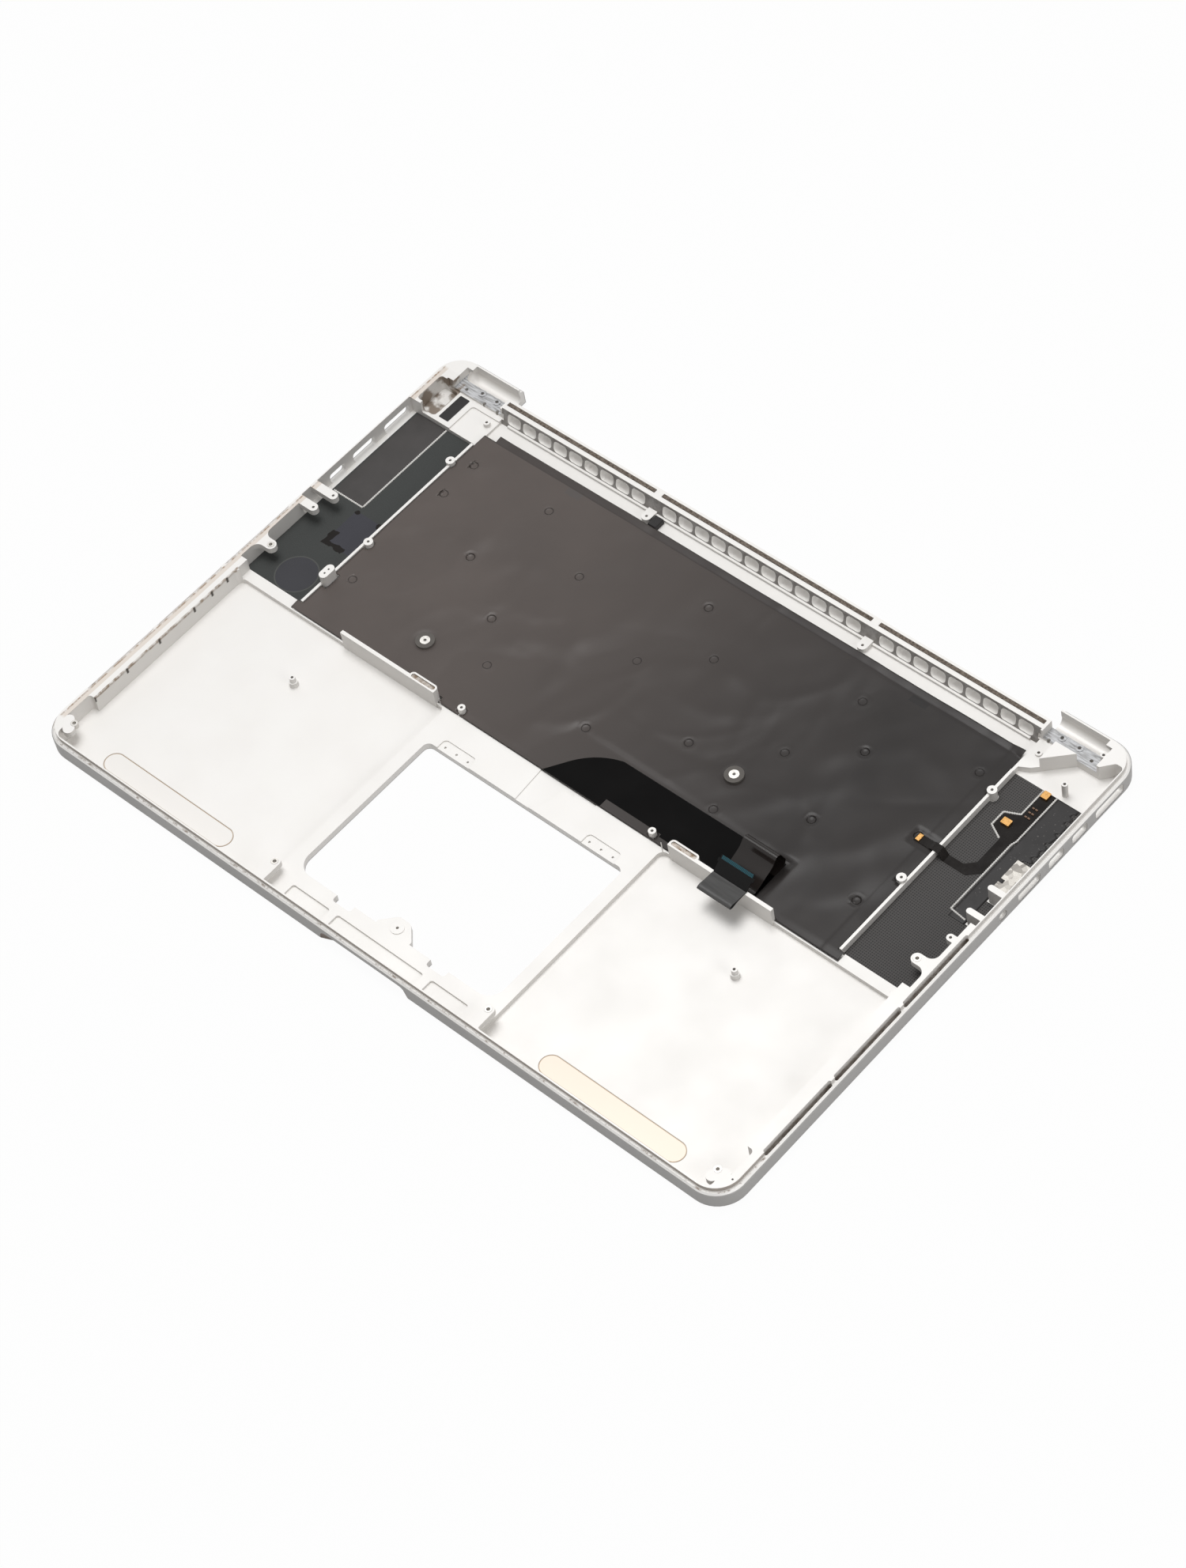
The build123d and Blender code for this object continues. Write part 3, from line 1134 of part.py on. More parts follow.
# Two microphone cans on the flex
with BuildPart() as microphones:
    with BuildSketch(Plane.XY.offset(flex_top)):
        with Locations((across_well(0.485), mesh_y1 - 1.8)):
            RectangleRounded(3.0, 3.4, 0.3)
        with Locations((across_well(0.352), mesh_y1 - 20.2)):
            RectangleRounded(3.8, 3.0, 0.3)
    extrude(amount=MICROPHONE_HEIGHT)
microphones.part.label = "microphones"
export_step(microphones.part, "parts/microphones.step")

# Plug at the end of the flex, and the small components between the cans
with BuildPart() as microphone_plug:
    with BuildSketch(Plane.XY.offset(tongue_z + FLEX_THICKNESS)):
        panel(pocket_half - 8.8, pocket_half - 7.0, flex_y0 + FIT_PLAY, flex_y1 - FIT_PLAY)
    extrude(amount=PLUG_HEIGHT)
microphone_plug.part.label = "microphone_plug"
export_step(microphone_plug.part, "parts/microphone_plug.step")
with BuildPart() as flex_components:
    with BuildSketch(Plane.XY.offset(flex_top)):
        with Locations((across_well(0.5), mesh_y1 - 11.5)):
            with GridLocations(1.4, 2.4, 2, 3):
                Rectangle(1.0, 0.6)
    extrude(amount=PLUG_HEIGHT)
flex_components.part.label = "flex_components"
export_step(flex_components.part, "parts/flex_components.step")

# Foam gaskets in the grooves of the exhaust bar
with BuildPart() as rear_gaskets:
    with BuildSketch(Plane.XY.offset(lip_top - GROOVE_DEPTH)):
        y0 = groove_front + FOAM_PLAY
        y1 = groove_rear - FOAM_PLAY
        panel(-GROOVE_MIDDLE_HALF + FOAM_PLAY, GROOVE_MIDDLE_HALF - FOAM_PLAY, y0, y1)
        for side in (-1, 1):
            panel(side * (GROOVE_SIDE_START + FOAM_PLAY), side * (groove_end - FOAM_PLAY), y0, y1)
    extrude(amount=FOAM_HEIGHT)
rear_gaskets.part.label = "rear_gaskets"
export_step(rear_gaskets.part, "parts/rear_gaskets.step")

# Steel inlays in the palm rest floor
with BuildPart() as palm_inlays:
    with BuildSketch(Plane.XY.offset(SKIN - INLAY_DEPTH)):
        with Locations(*inlay_places):
            SlotOverall(INLAY_LENGTH - 2 * INLAY_PLAY, INLAY_WIDTH - 2 * INLAY_PLAY)
    extrude(amount=INLAY_DEPTH)
palm_inlays.part.label = "palm_inlays"
export_step(palm_inlays.part, "parts/palm_inlays.step")

# Threaded inserts in the ears
with BuildPart() as threaded_inserts:
    with BuildSketch(Plane.XY.offset(lip_top - INSERT_LENGTH)):
        discs(insert_seats, INSERT_RADIUS - SCREW_PLAY)
        discs(insert_seats, INSERT_BORE, Mode.SUBTRACT)
    extrude(amount=INSERT_LENGTH + INSERT_PROUD)
threaded_inserts.part.label = "threaded_inserts"
export_step(threaded_inserts.part, "parts/threaded_inserts.step")

# Contact clips in the housings of the tall ribs
with BuildPart() as rib_clips:
    with BuildSketch(Plane.XY.offset(TALL_RIB_TOP - CLIP_DEPTH)):
        with Locations(*clip_places):
            SlotOverall(CLIP_LENGTH - 2 * SCREW_PLAY, CLIP_WIDTH - 2 * SCREW_PLAY)
    extrude(amount=CLIP_DEPTH - CLIP_RECESS)
rib_clips.part.label = "rib_clips"
export_step(rib_clips.part, "parts/rib_clips.step")

# Backlight connector on the duct floor, beside the left screw tab
with BuildPart() as backlight_connector:
    with BuildSketch(Plane.XY.offset(web_top)):
        connector_left = -tab_x + TAB_RADIUS + 2 * FIT_PLAY
        connector_front = film_rear + 2 * FIT_PLAY
        connector_rear = pocket_rear - SILL_REACH - FIT_PLAY
        panel(connector_left, connector_left + CONNECTOR_WIDTH, connector_front, connector_rear, 0.4)
    extrude(amount=CONNECTOR_HEIGHT)
    chamfer(backlight_connector.faces().sort_by(Axis.Z)[-1].edges(), FIT_PLAY)
backlight_connector.part.label = "backlight_connector"
export_step(backlight_connector.part, "parts/backlight_connector.step")

# Bright sheet bracket behind the front port of the right side, over the edge of the film
bracket_y = rear_edge - RIGHT_PORTS[-1][0]
bracket_left = film_edge - BRACKET_OVERLAP
bracket_z = mesh_top + THIN_FILM
tab_reach = port_outer - BRACKET_THICKNESS
with BuildPart() as port_bracket:
    with BuildSketch(Plane.XY.offset(bracket_z)):
        panel(bracket_left, port_outer, bracket_y - BRACKET_HALF, bracket_y + BRACKET_HALF)
        notch_rear, notch_front = [bracket_y - ahead for ahead in BRACKET_NOTCH]
        panel(bracket_left - 1, bracket_left + 2, notch_front, notch_rear, mode=Mode.SUBTRACT)
    extrude(amount=BRACKET_THICKNESS)
    with BuildSketch(Plane.XY.offset(bracket_z)):
        for end in (bracket_y - BRACKET_HALF, bracket_y + BRACKET_HALF - BRACKET_TAB):
            panel(tab_reach, port_outer, end, end + BRACKET_TAB)
    extrude(amount=BRACKET_HEIGHT)
port_bracket.part.label = "port_bracket"
export_step(port_bracket.part, "parts/port_bracket.step")

# Small black film on the left rear shelf
with BuildPart() as corner_film:
    with BuildSketch(Plane.XY.offset(LEFT_SHELF)):
        film_side = -half_w + LEFT_BAY_SIDE + 1.85
        panel(film_side, film_side + 5.2, speaker_rear + 2.2, plate_front_y - FIT_PLAY, 0.4)
    extrude(amount=THIN_FILM)
corner_film.part.label = "corner_film"
export_step(corner_film.part, "parts/corner_film.step")
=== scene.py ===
import bpy
import numpy as np
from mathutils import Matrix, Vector


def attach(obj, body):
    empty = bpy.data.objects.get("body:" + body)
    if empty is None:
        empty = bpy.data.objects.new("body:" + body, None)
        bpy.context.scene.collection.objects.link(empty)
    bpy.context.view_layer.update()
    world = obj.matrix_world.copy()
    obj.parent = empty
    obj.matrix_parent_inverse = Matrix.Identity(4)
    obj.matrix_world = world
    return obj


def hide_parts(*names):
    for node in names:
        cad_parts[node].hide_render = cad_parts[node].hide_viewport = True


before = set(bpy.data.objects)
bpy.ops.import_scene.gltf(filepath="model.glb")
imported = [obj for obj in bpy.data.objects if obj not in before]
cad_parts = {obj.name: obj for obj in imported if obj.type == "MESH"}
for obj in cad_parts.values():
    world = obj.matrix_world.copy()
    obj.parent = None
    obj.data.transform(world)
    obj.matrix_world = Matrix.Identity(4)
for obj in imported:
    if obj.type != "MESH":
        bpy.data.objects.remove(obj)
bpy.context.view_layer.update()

# Top case: one tray milled from an aluminium block, then blasted and clear anodised.
# The blasted floors inside are almost white; the upright walls inside are painted greyer and the outer wall a
# darker satin grey, both as painted shade.
# Adhesive and dust have left brown marks in the side slots, along the edges and in the left rear bay.


def linear(code):
    """Turns an sRGB hex colour into linear RGBA: c/12.92 below 0.04045, else ((c + 0.055)/1.055)^2.4."""
    rgb = np.array([int(code[i:i + 2], 16) for i in (1, 3, 5)]) / 255.0
    rgb = np.where(rgb <= 0.04045, rgb / 12.92, ((rgb + 0.055) / 1.055) ** 2.4)
    return tuple(rgb.tolist()) + (1.0,)


def add(tree, kind, inputs=None, **settings):
    """Adds one shader node: settings are its attributes, inputs are constants or other nodes' sockets."""
    node = tree.nodes.new("ShaderNode" + kind)
    for name, value in settings.items():
        setattr(node, name, value)
    for name, value in (inputs or {}).items():
        if isinstance(value, bpy.types.NodeSocket):
            tree.links.new(value, node.inputs[name])
        else:
            node.inputs[name].default_value = value
    return node


def start_material(name, color, metallic, roughness, specular=0.5):
    """Begins a material on its Principled shader and gives it, its node tree and its object coordinates."""
    material = bpy.data.materials.new(name)
    material.use_nodes = True
    tree = material.node_tree
    shader = tree.nodes["Principled BSDF"]
    shader.inputs["Base Color"].default_value = linear(color)
    shader.inputs["Metallic"].default_value = metallic
    shader.inputs["Roughness"].default_value = roughness
    shader.inputs["Specular IOR Level"].default_value = specular
    place = add(tree, "TexCoord").outputs["Object"]
    return material, tree, shader, place


def paint(material, *names):
    """Puts the material on the only slot of each named CAD piece."""
    for name in names:
        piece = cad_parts[name]
        piece.data.materials.clear()
        piece.data.materials.append(material)


def within(tree, value, low, high, soft):
    """Gives 1 where the value lies between low and high, falling to 0 over a soft edge on both sides."""
    rising = {0: value, 1: low - soft, 2: low}
    falling = {0: value, 1: high, 2: high + soft, 3: 1.0, 4: 0.0}
    rise = add(tree, "MapRange", rising, interpolation_type="SMOOTHSTEP").outputs[0]
    fall = add(tree, "MapRange", falling, interpolation_type="SMOOTHSTEP").outputs[0]
    return overlap(tree, rise, fall)


def overlap(tree, *masks):
    """Multiplies masks, so that the result is 1 only where all of them are."""
    result = masks[0]
    for mask in masks[1:]:
        result = add(tree, "Math", {0: result, 1: mask}, operation="MULTIPLY").outputs[0]
    return result


def region(tree, *limits):
    """Gives 1 inside all the limits, each a value with its low end, high end and soft edge in metres."""
    return overlap(tree, *[within(tree, *limit) for limit in limits])


def coats(tree, ground, *layers):
    """Lays colours over the ground colour in turn, each with its own share from 0 to 1."""
    tone = linear(ground)
    for share, colour in layers:
        tone = add(tree, "Mix", {0: share, 6: tone, 7: linear(colour)}, data_type="RGBA").outputs[2]
    return tone


# Blasted and anodised aluminium: a soft white sheen, since the oxide scatters more light than it mirrors
case_metal, tree, shader, place = start_material("anodised_aluminium", "#f0efed", 0.22, 0.52)
side, along, height = add(tree, "SeparateXYZ", {0: place}).outputs
across = add(tree, "Math", {0: side}, operation="ABSOLUTE").outputs[0]
deep = add(tree, "Math", {0: along}, operation="ABSOLUTE").outputs[0]
flat = add(tree, "CombineXYZ", {0: side, 1: along}).outputs[0]
everywhere = 1.0  # a limit in metres that lies far past any edge of the part

# Outer wall: how far a point lies outside the core of the rounded outline, a corner radius on the wall itself
core_x, core_y, corner_radius = 0.16645, 0.11055, 0.013
facet_depth = 0.00028
corner_x = add(tree, "Math", {0: across, 1: core_x}, operation="SUBTRACT").outputs[0]
corner_y = add(tree, "Math", {0: deep, 1: core_y}, operation="SUBTRACT").outputs[0]
out_x = add(tree, "Math", {0: corner_x, 1: 0.0}, operation="MAXIMUM").outputs[0]
out_y = add(tree, "Math", {0: corner_y, 1: 0.0}, operation="MAXIMUM").outputs[0]
out_xy = add(tree, "CombineXYZ", {0: out_x, 1: out_y}).outputs[0]
reach = add(tree, "VectorMath", {0: out_xy}, operation="LENGTH").outputs["Value"]
wall = within(tree, reach, corner_radius - facet_depth, 0.014, 0.00005)
key_face = within(tree, height, -0.001, 0.0003, 0.0001)
# The outer wall and the face underneath are painted a darker grey: painted shade on the same metal as the
# inside
outer_painted_shade = add(tree, "Math", {0: wall, 1: key_face}, operation="MAXIMUM").outputs[0]
mottle = add(tree, "TexNoise", {"Vector": place, "Scale": 45.0, "Detail": 3.0}).outputs["Fac"]
inside = add(tree, "MapRange", {0: mottle, 1: 0.3, 2: 0.7, 3: 0.0, 4: 0.35}).outputs[0]

# Milled side walls are painted greyer than the floors as painted shade; the share follows the face's slope
facing = add(tree, "SeparateXYZ", {0: add(tree, "TexCoord").outputs["Normal"]}).outputs[2]
facing = add(tree, "Math", {0: facing}, operation="ABSOLUTE").outputs[0]
upright_painted_shade = add(tree, "MapRange", {0: facing, 1: 0.2, 2: 0.75, 3: 0.8, 4: 0.0}).outputs[0]
bar = region(tree, (along, 0.1085, 0.1145, 0.0003), (across, -everywhere, 0.139, 0.0005))
not_bar = add(tree, "Math", {0: 1.0, 1: bar}, operation="SUBTRACT").outputs[0]
upright_painted_shade = overlap(tree, upright_painted_shade, not_bar)

# Hinge plates: rough cutter marks along the plate, about 0.7 mm apart
plates = region(
    tree, (across, 0.1416, 0.168, 0.0002), (along, 0.1083, 0.1178, 0.0002), (height, 0.0051, 0.0057, 0.0001)
)
marks = add(tree, "Mapping", {"Vector": place, "Scale": (180.0, 1400.0, 180.0)}).outputs[0]
milled = add(tree, "TexNoise", {"Vector": marks, "Scale": 1.0, "Detail": 3.0}).outputs["Fac"]
milled = add(tree, "MapRange", {0: milled, 1: 0.4, 2: 0.65, 3: 0.0, 4: 0.85}).outputs[0]

# Dust: brown in the cooling slots and specks on the front ledge; painted shade on the step face under the
# lip, strongest at the front and fading to the rear
fine_dust = {"Vector": place, "Scale": 380.0, "Detail": 4.0, "Roughness": 0.65}
dust = add(tree, "TexNoise", fine_dust).outputs["Fac"]
dusty = add(tree, "MapRange", {0: dust, 1: 0.42, 2: 0.6, 3: 0.25, 4: 0.95}).outputs[0]
speck = add(tree, "MapRange", {0: dust, 1: 0.52, 2: 0.66, 3: 0.0, 4: 0.8}).outputs[0]
slots = region(
    tree, (across, 0.1768, 0.1782, 0.0002), (height, 0.0, 0.0073, 0.0002), (along, -0.099, 0.0195, 0.001)
)
ledge = region(
    tree, (height, 0.00745, 0.0077, 0.0001), (reach, 0.0116, 0.0122, 0.0003),
    (along, -everywhere, -0.095, 0.02),
)
lip_step_painted_shade = region(tree, (reach, 0.01104, 0.01116, 0.00003), (height, 0.0077, 0.0094, 0.0001))
shade_fade_to_rear = add(tree, "MapRange", {0: along, 1: -0.115, 2: -0.06, 3: 1.0, 4: 0.3}).outputs[0]

# Left wall: brown chamfer, adhesive lines on the lip and the housing, and dark spots on the housing's edge
left_edge = region(
    tree, (reach, 0.0121, 0.0129, 0.0002), (side, -everywhere, -0.1765, 0.0003),
    (height, 0.0066, 0.0076, 0.0001),
)
housing = region(
    tree, (side, -0.1717, -0.1709, 0.0002), (along, -0.105, -0.017, 0.001), (height, 0.0086, 0.0097, 0.0003)
)
housing_edge = within(tree, height, 0.0070, 0.0098, 0.0004)
spots = []
for spot_y in (-0.0990, -0.0808, -0.0624, -0.0424, -0.0322, -0.0234):
    middle = (-0.1707, spot_y, 0.0)
    away = add(tree, "VectorMath", {0: flat, 1: middle}, operation="DISTANCE").outputs["Value"]
    spot = within(tree, away, -everywhere, 0.0005, 0.0005)
    spots.append((overlap(tree, spot, housing_edge), "#3a332c"))
left_lip = region(tree, (height, 0.0094, 0.0099, 0.0001), (along, -0.112, 0.112, 0.002))
left_cream = overlap(tree, left_lip, within(tree, side, -0.1758, -0.1743, 0.0003))
left_line = overlap(tree, left_lip, within(tree, side, -0.17655, -0.17595, 0.00015), dusty)

# Thumb scoop in the front wall painted dark brown as painted shade, glue stains in the left rear bay and
# painted shade in grey on the slanting vent face, made uneven by the dust noise
scoop_painted_shade = region(
    tree, (along, -0.12347, -0.1214, 0.00005), (across, -everywhere, 0.0232, 0.0003),
    (height, 0.0002, 0.0053, 0.0002),
)
stains = add(tree, "TexNoise", {"Vector": place, "Scale": 150.0, "Detail": 3.0}).outputs["Fac"]
stained = add(tree, "MapRange", {0: stains, 1: 0.44, 2: 0.56, 3: 0.0, 4: 0.9}).outputs[0]
bay = region(
    tree, (side, -0.1782, -0.1655, 0.0006), (along, 0.0935, 0.1125, 0.001), (height, 0.0012, 0.0092, 0.0004)
)
# The slanting vent face gets a grey of painted shade, made uneven by the dust noise
vent_slope = -0.28758
leaned = add(tree, "Math", {0: height, 1: vent_slope, 2: along}, operation="MULTIPLY_ADD").outputs[0]
vent_painted_shade = region(tree, (leaned, 0.10717, 0.10734, 0.00003), (across, -everywhere, 0.1406, 0.0002))
vent_shade_share = add(tree, "MapRange", {0: dust, 1: 0.35, 2: 0.65, 3: 0.75, 4: 0.95}).outputs[0]
case_tone = coats(
    tree, "#f4f2ef", (inside, "#eeebe7"), (upright_painted_shade, "#cfccc8"), (outer_painted_shade, "#a3a19f"), (plates, "#cdced0"),
    (overlap(tree, plates, milled), "#8c8b8a"), (overlap(tree, slots, dusty), "#7d6a58"),
    (overlap(tree, ledge, speck), "#7d6a58"), (overlap(tree, lip_step_painted_shade, shade_fade_to_rear), "#a59d95"),
    (overlap(tree, left_edge, dusty), "#97836f"), (overlap(tree, housing, dusty), "#8d7a68"), *spots,
    (left_cream, "#e3dad1"), (left_line, "#a28a74"), (scoop_painted_shade, "#6a5d53"),
    (overlap(tree, bay, stained), "#7b6b5b"), (overlap(tree, vent_painted_shade, vent_shade_share), "#77726e"),
)
tree.links.new(case_tone, shader.inputs["Base Color"])

# Blasted grain of about 0.4 mm, drawn coarser than the real grit so that it shows
grain = add(tree, "TexNoise", {"Vector": place, "Scale": 2600.0, "Detail": 2.0}).outputs["Fac"]
blast = add(tree, "Bump", {"Strength": 0.05, "Distance": 0.0002, "Height": grain})
tree.links.new(blast.outputs[0], shader.inputs["Normal"])
rough = add(tree, "MapRange", {0: mottle, 1: 0.3, 2: 0.7, 3: 0.48, 4: 0.58}).outputs[0]
tree.links.new(rough, shader.inputs["Roughness"])
paint(case_metal, "top_case")

# Threaded inserts, standoffs and spring clips: turned or stamped steel, pressed or screwed in.
# Turning leaves fine rings; the clips have browned a little in their housings.

# Turned steel: bright, with a shine that changes from ring to ring
turned, tree, shader, place = start_material("turned_steel", "#dcd9d4", 0.9, 0.3)
rings = add(tree, "TexNoise", {"Vector": place, "Scale": 1500.0, "Detail": 1.0}).outputs["Fac"]
shade = add(tree, "MapRange", {0: rings, 1: 0.3, 2: 0.7, 3: 0.22, 4: 0.42}).outputs[0]
tree.links.new(shade, shader.inputs["Roughness"])
paint(turned, "film_standoffs")

# Zinc plating: a pale grey metal with small dull pits
plated, tree, shader, place = start_material("zinc_plated_steel", "#cac7c2", 0.9, 0.35)
pits = add(tree, "TexNoise", {"Vector": place, "Scale": 900.0, "Detail": 3.0}).outputs["Fac"]
shade = add(tree, "MapRange", {0: pits, 1: 0.3, 2: 0.7, 3: 0.28, 4: 0.5}).outputs[0]
tree.links.new(shade, shader.inputs["Roughness"])
paint(plated, "threaded_inserts")

# Spring steel: grey strip with brown smears of old adhesive
spring, tree, shader, place = start_material("spring_steel_browned", "#9a8c7c", 0.85, 0.4)
smears = add(tree, "TexNoise", {"Vector": place, "Scale": 420.0, "Detail": 3.0}).outputs["Fac"]
smeared = add(tree, "MapRange", {0: smears, 1: 0.4, 2: 0.65}).outputs[0]
tree.links.new(coats(tree, "#a8a19a", (smeared, "#6d5b49")), shader.inputs["Base Color"])
paint(spring, "rib_clips")

# Keys: moulded black ABS caps, blank, each resting on its own rubber dome and sliding in its window.
# The moulded texture of the touch face gives a fine matt look.
stack = ("key_plate", "key_carrier")
keys = [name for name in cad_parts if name.startswith("key_") and name not in stack]
cap_plastic, tree, shader, place = start_material("moulded_abs_black", "#19191b", 0.0, 0.5)
fine = add(tree, "TexNoise", {"Vector": place, "Scale": 3200.0, "Detail": 2.0}).outputs["Fac"]
touch = add(tree, "Bump", {"Strength": 0.15, "Distance": 0.0001, "Height": fine})
tree.links.new(touch.outputs[0], shader.inputs["Normal"])
paint(cap_plastic, *keys)

# Switch sheet with its rubber domes and the fixed keys, steel base plate, light guide and flat screws.
# They are stacked behind the keys and held by the screws; the cover film hides them from the inside.

# Silicone rubber: dull black with a slightly uneven skin
sheet_rubber, tree, shader, place = start_material("silicone_rubber_black", "#1b1b1c", 0.0, 0.55)
fine = add(tree, "TexNoise", {"Vector": place, "Scale": 1800.0, "Detail": 2.0}).outputs["Fac"]
shade = add(tree, "MapRange", {0: fine, 1: 0.3, 2: 0.7, 3: 0.48, 4: 0.62}).outputs[0]
tree.links.new(shade, shader.inputs["Roughness"])
paint(sheet_rubber, "key_carrier")

# Rolled steel: grey, with rolling lines along the plate about 0.4 mm apart
rolled, tree, shader, place = start_material("rolled_steel", "#9b9b9c", 1.0, 0.4)
streaks = add(tree, "Mapping", {"Vector": place, "Scale": (60.0, 2400.0, 60.0)}).outputs[0]
lines = add(tree, "TexNoise", {"Vector": streaks, "Scale": 1.0, "Detail": 2.0}).outputs["Fac"]
shade = add(tree, "MapRange", {0: lines, 1: 0.3, 2: 0.7, 3: 0.3, 4: 0.5}).outputs[0]
tree.links.new(shade, shader.inputs["Roughness"])
paint(rolled, "key_plate", "keyboard_screws")

# Polycarbonate: a pale glossy sheet with light-scattering dots about 1 mm apart
guide_plastic, tree, shader, place = start_material("clear_polycarbonate", "#dfe2e2", 0.0, 0.15)
dots = add(tree, "TexVoronoi", {"Vector": place, "Scale": 900.0}).outputs["Distance"]
shade = add(tree, "MapRange", {0: dots, 1: 0.1, 2: 0.5, 3: 0.12, 4: 0.3}).outputs[0]
tree.links.new(shade, shader.inputs["Roughness"])
paint(guide_plastic, "backlight_guide")

# Cover film: thin warm-grey polyester glued over the back of the keyboard, cut out round ribs and posts.
# It lies in soft wrinkles, dips round each screw head, and its rear edge is folded up in a narrow flap.


def sheet_mesh(name, points, keep=None):
    """Mesh of a grid of points: each cell is one quad facing up, left out where keep marks it False."""
    rows, columns = points.shape[:2]
    index = np.arange(rows * columns).reshape(rows, columns)
    quads = np.stack([index[:-1, :-1], index[:-1, 1:], index[1:, 1:], index[1:, :-1]], axis=-1)
    quads = quads.reshape(-1, 4) if keep is None else quads[keep]
    used, corners = np.unique(quads, return_inverse=True)
    mesh = bpy.data.meshes.new(name)
    mesh.from_pydata(points.reshape(-1, 3)[used].tolist(), [], corners.reshape(-1, 4).tolist())
    mesh.shade_smooth()
    return mesh


def fit_piece(name, mesh, material, slot, *nodes):
    """Adds a mesh as a piece of the case with its material, in place of CAD nodes if any; slot is not used.
    """
    piece = bpy.data.objects.new(name, mesh)
    bpy.context.scene.collection.objects.link(piece)
    mesh.materials.append(material)
    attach(piece, "case")
    if nodes:
        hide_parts(*nodes)
    return piece


def thicken(piece, thickness):
    """Gives a sheet its thickness below the modelled face."""
    solid = piece.modifiers.new("thickness", "SOLIDIFY")
    solid.thickness = thickness
    solid.offset = -1.0


def smooth_step(value, low, high):
    """Rises from 0 at low to 1 at high as 3t^2 - 2t^3."""
    t = np.clip((value - low) / (high - low), 0.0, 1.0)
    return t * t * (3.0 - 2.0 * t)


# The sheet's places are in millimetres; the grid has a line on each straight edge of the cut-outs
FILM_TOP = 3.95
FILM_CELL = 0.92
FILM_THICKNESS = 0.12
film_half, film_front, film_rear, flap_line = 143.19, -15.75, 100.7, 97.7
key_pitch, row_pitch, front_row = 18.95, 18.4, -9.2
screw_columns = (
    (-6.98, -3.04, -0.25, 3.22, 6.96),
    (-3.80, 1.72, 4.99),
    (-5.31, -0.55, 3.47, 6.95),
    (-7.00, -3.04, 0.73, 4.78),
    (-7.00, -4.79, -0.25, 3.92, 6.96),
)
screws = np.array([
    (unit * key_pitch, front_row + (row + 1) * row_pitch)
    for row, units in enumerate(screw_columns) for unit in units
])
cut_edges_x = [-film_half, -140.29, -137.79, -134.0, -112.9, -75.6, -61.0]
cut_edges_x += [61.0, 75.6, 112.9, 135.0, 140.29, film_half]
cut_edges_y = [film_front, -15.0, -13.2, -11.8, -0.7, 7.5, flap_line, film_rear]
film_x = np.unique(np.concatenate([np.arange(-film_half, 143.2, FILM_CELL), cut_edges_x]))
film_y = np.unique(np.concatenate([np.arange(film_front, 100.8, FILM_CELL), cut_edges_y]))
film_x = film_x[np.concatenate([[True], np.diff(film_x) > 1e-6])]
x, y = np.meshgrid(film_x, film_y)

# Points near a screw or round cut-out are drawn onto circles about its middle, so that rims come out round
holes = [(-86.0, 3.4, 2.4), (57.0, 26.2, 2.4), (-50.0, -13.5, 1.9), (50.0, -13.5, 1.9)]
holes += [(141.59 * s, 78.2, 2.3) for s in (-1, 1)] + [(139.49 * s, 26.5, 2.3) for s in (-1, 1)]
dent_rings = (0.9, 1.75, 2.6)
rims = [(cx, cy, (radius,)) for cx, cy, radius in holes] + [(cx, cy, dent_rings) for cx, cy in screws]
fixed = np.isin(np.round(x, 4), np.round(cut_edges_x, 4))
fixed |= np.isin(np.round(y, 4), np.round(cut_edges_y, 4))
for cx, cy, radii in rims:
    away = np.hypot(x - cx, y - cy)
    for radius in radii:
        near = (np.abs(away - radius) < 0.46 * FILM_CELL) & ~fixed
        pull = np.where(near, radius / np.maximum(away, 1e-6), 1.0)
        x, y = cx + (x - cx) * pull, cy + (y - cy) * pull
        away = np.hypot(x - cx, y - cy)

# Wrinkles: ridges h exp(-(v/w)^2) exp(-(u/l)^2) on bent lines laid at random, u along a line and v across it
WRINKLES = 210
chance = np.random.default_rng(11)
relief = 0.3 + 0.12 * np.sin(x / 17.0 + 1.3 * np.sin(y / 23.0)) + 0.06 * np.sin(y / 11.0 + x / 37.0)
for count in range(WRINKLES):
    cx, cy = chance.uniform(-140, 140), chance.uniform(-14, 98)
    lean = np.radians(chance.normal(65, 32)) if count % 3 else chance.uniform(0, np.pi)
    length, width = chance.uniform(6, 30), chance.uniform(2.2, 7.5)
    lift, bow = chance.uniform(-0.3, 0.4), chance.normal(0, 0.012)
    u = (x - cx) * np.cos(lean) + (y - cy) * np.sin(lean)
    v = (y - cy) * np.cos(lean) - (x - cx) * np.sin(lean) + bow * u * u
    relief += lift * width / 5.0 * np.exp(-(v / width) ** 2 - (u / length) ** 2)
relief = np.maximum(relief, 0.0)
for cx, cy in screws:
    away = np.hypot(x - cx, y - cy)
    relief = relief * smooth_step(away, 1.3, 2.6) + 0.1 * np.exp(-((away - 2.4) / 0.7) ** 2)

# The film is held flat under the ribbon, the washers, the flex tongue and along its glued front edge
calm = smooth_step(np.maximum(np.abs(x - 47.0) - 54.0, np.abs(y + 4.5) - 11.2), 0.0, 3.0)
calm *= smooth_step(np.maximum(np.abs(x - 135.4) - 4.4, np.abs(y - 45.5) - 2.2), 0.0, 2.0)
for cx, cy, radius in holes[:2]:
    calm *= smooth_step(np.hypot(x - cx, y - cy), 4.1, 6.0)
relief *= calm * smooth_step(y, film_front, -12.0)
relief += 0.1 * smooth_step(x, 134.8, 135.2) * calm

# The flap rises behind a crease, and most of all at its right end
relief += np.where(y > 97.6, 0.16 * (y - 97.6), 0.0) - 0.12 * np.exp(-((y - flap_line) / 0.6) ** 2)
relief += 0.5 * smooth_step(x + y, 234.0, 240.0) * (y > 97.6)

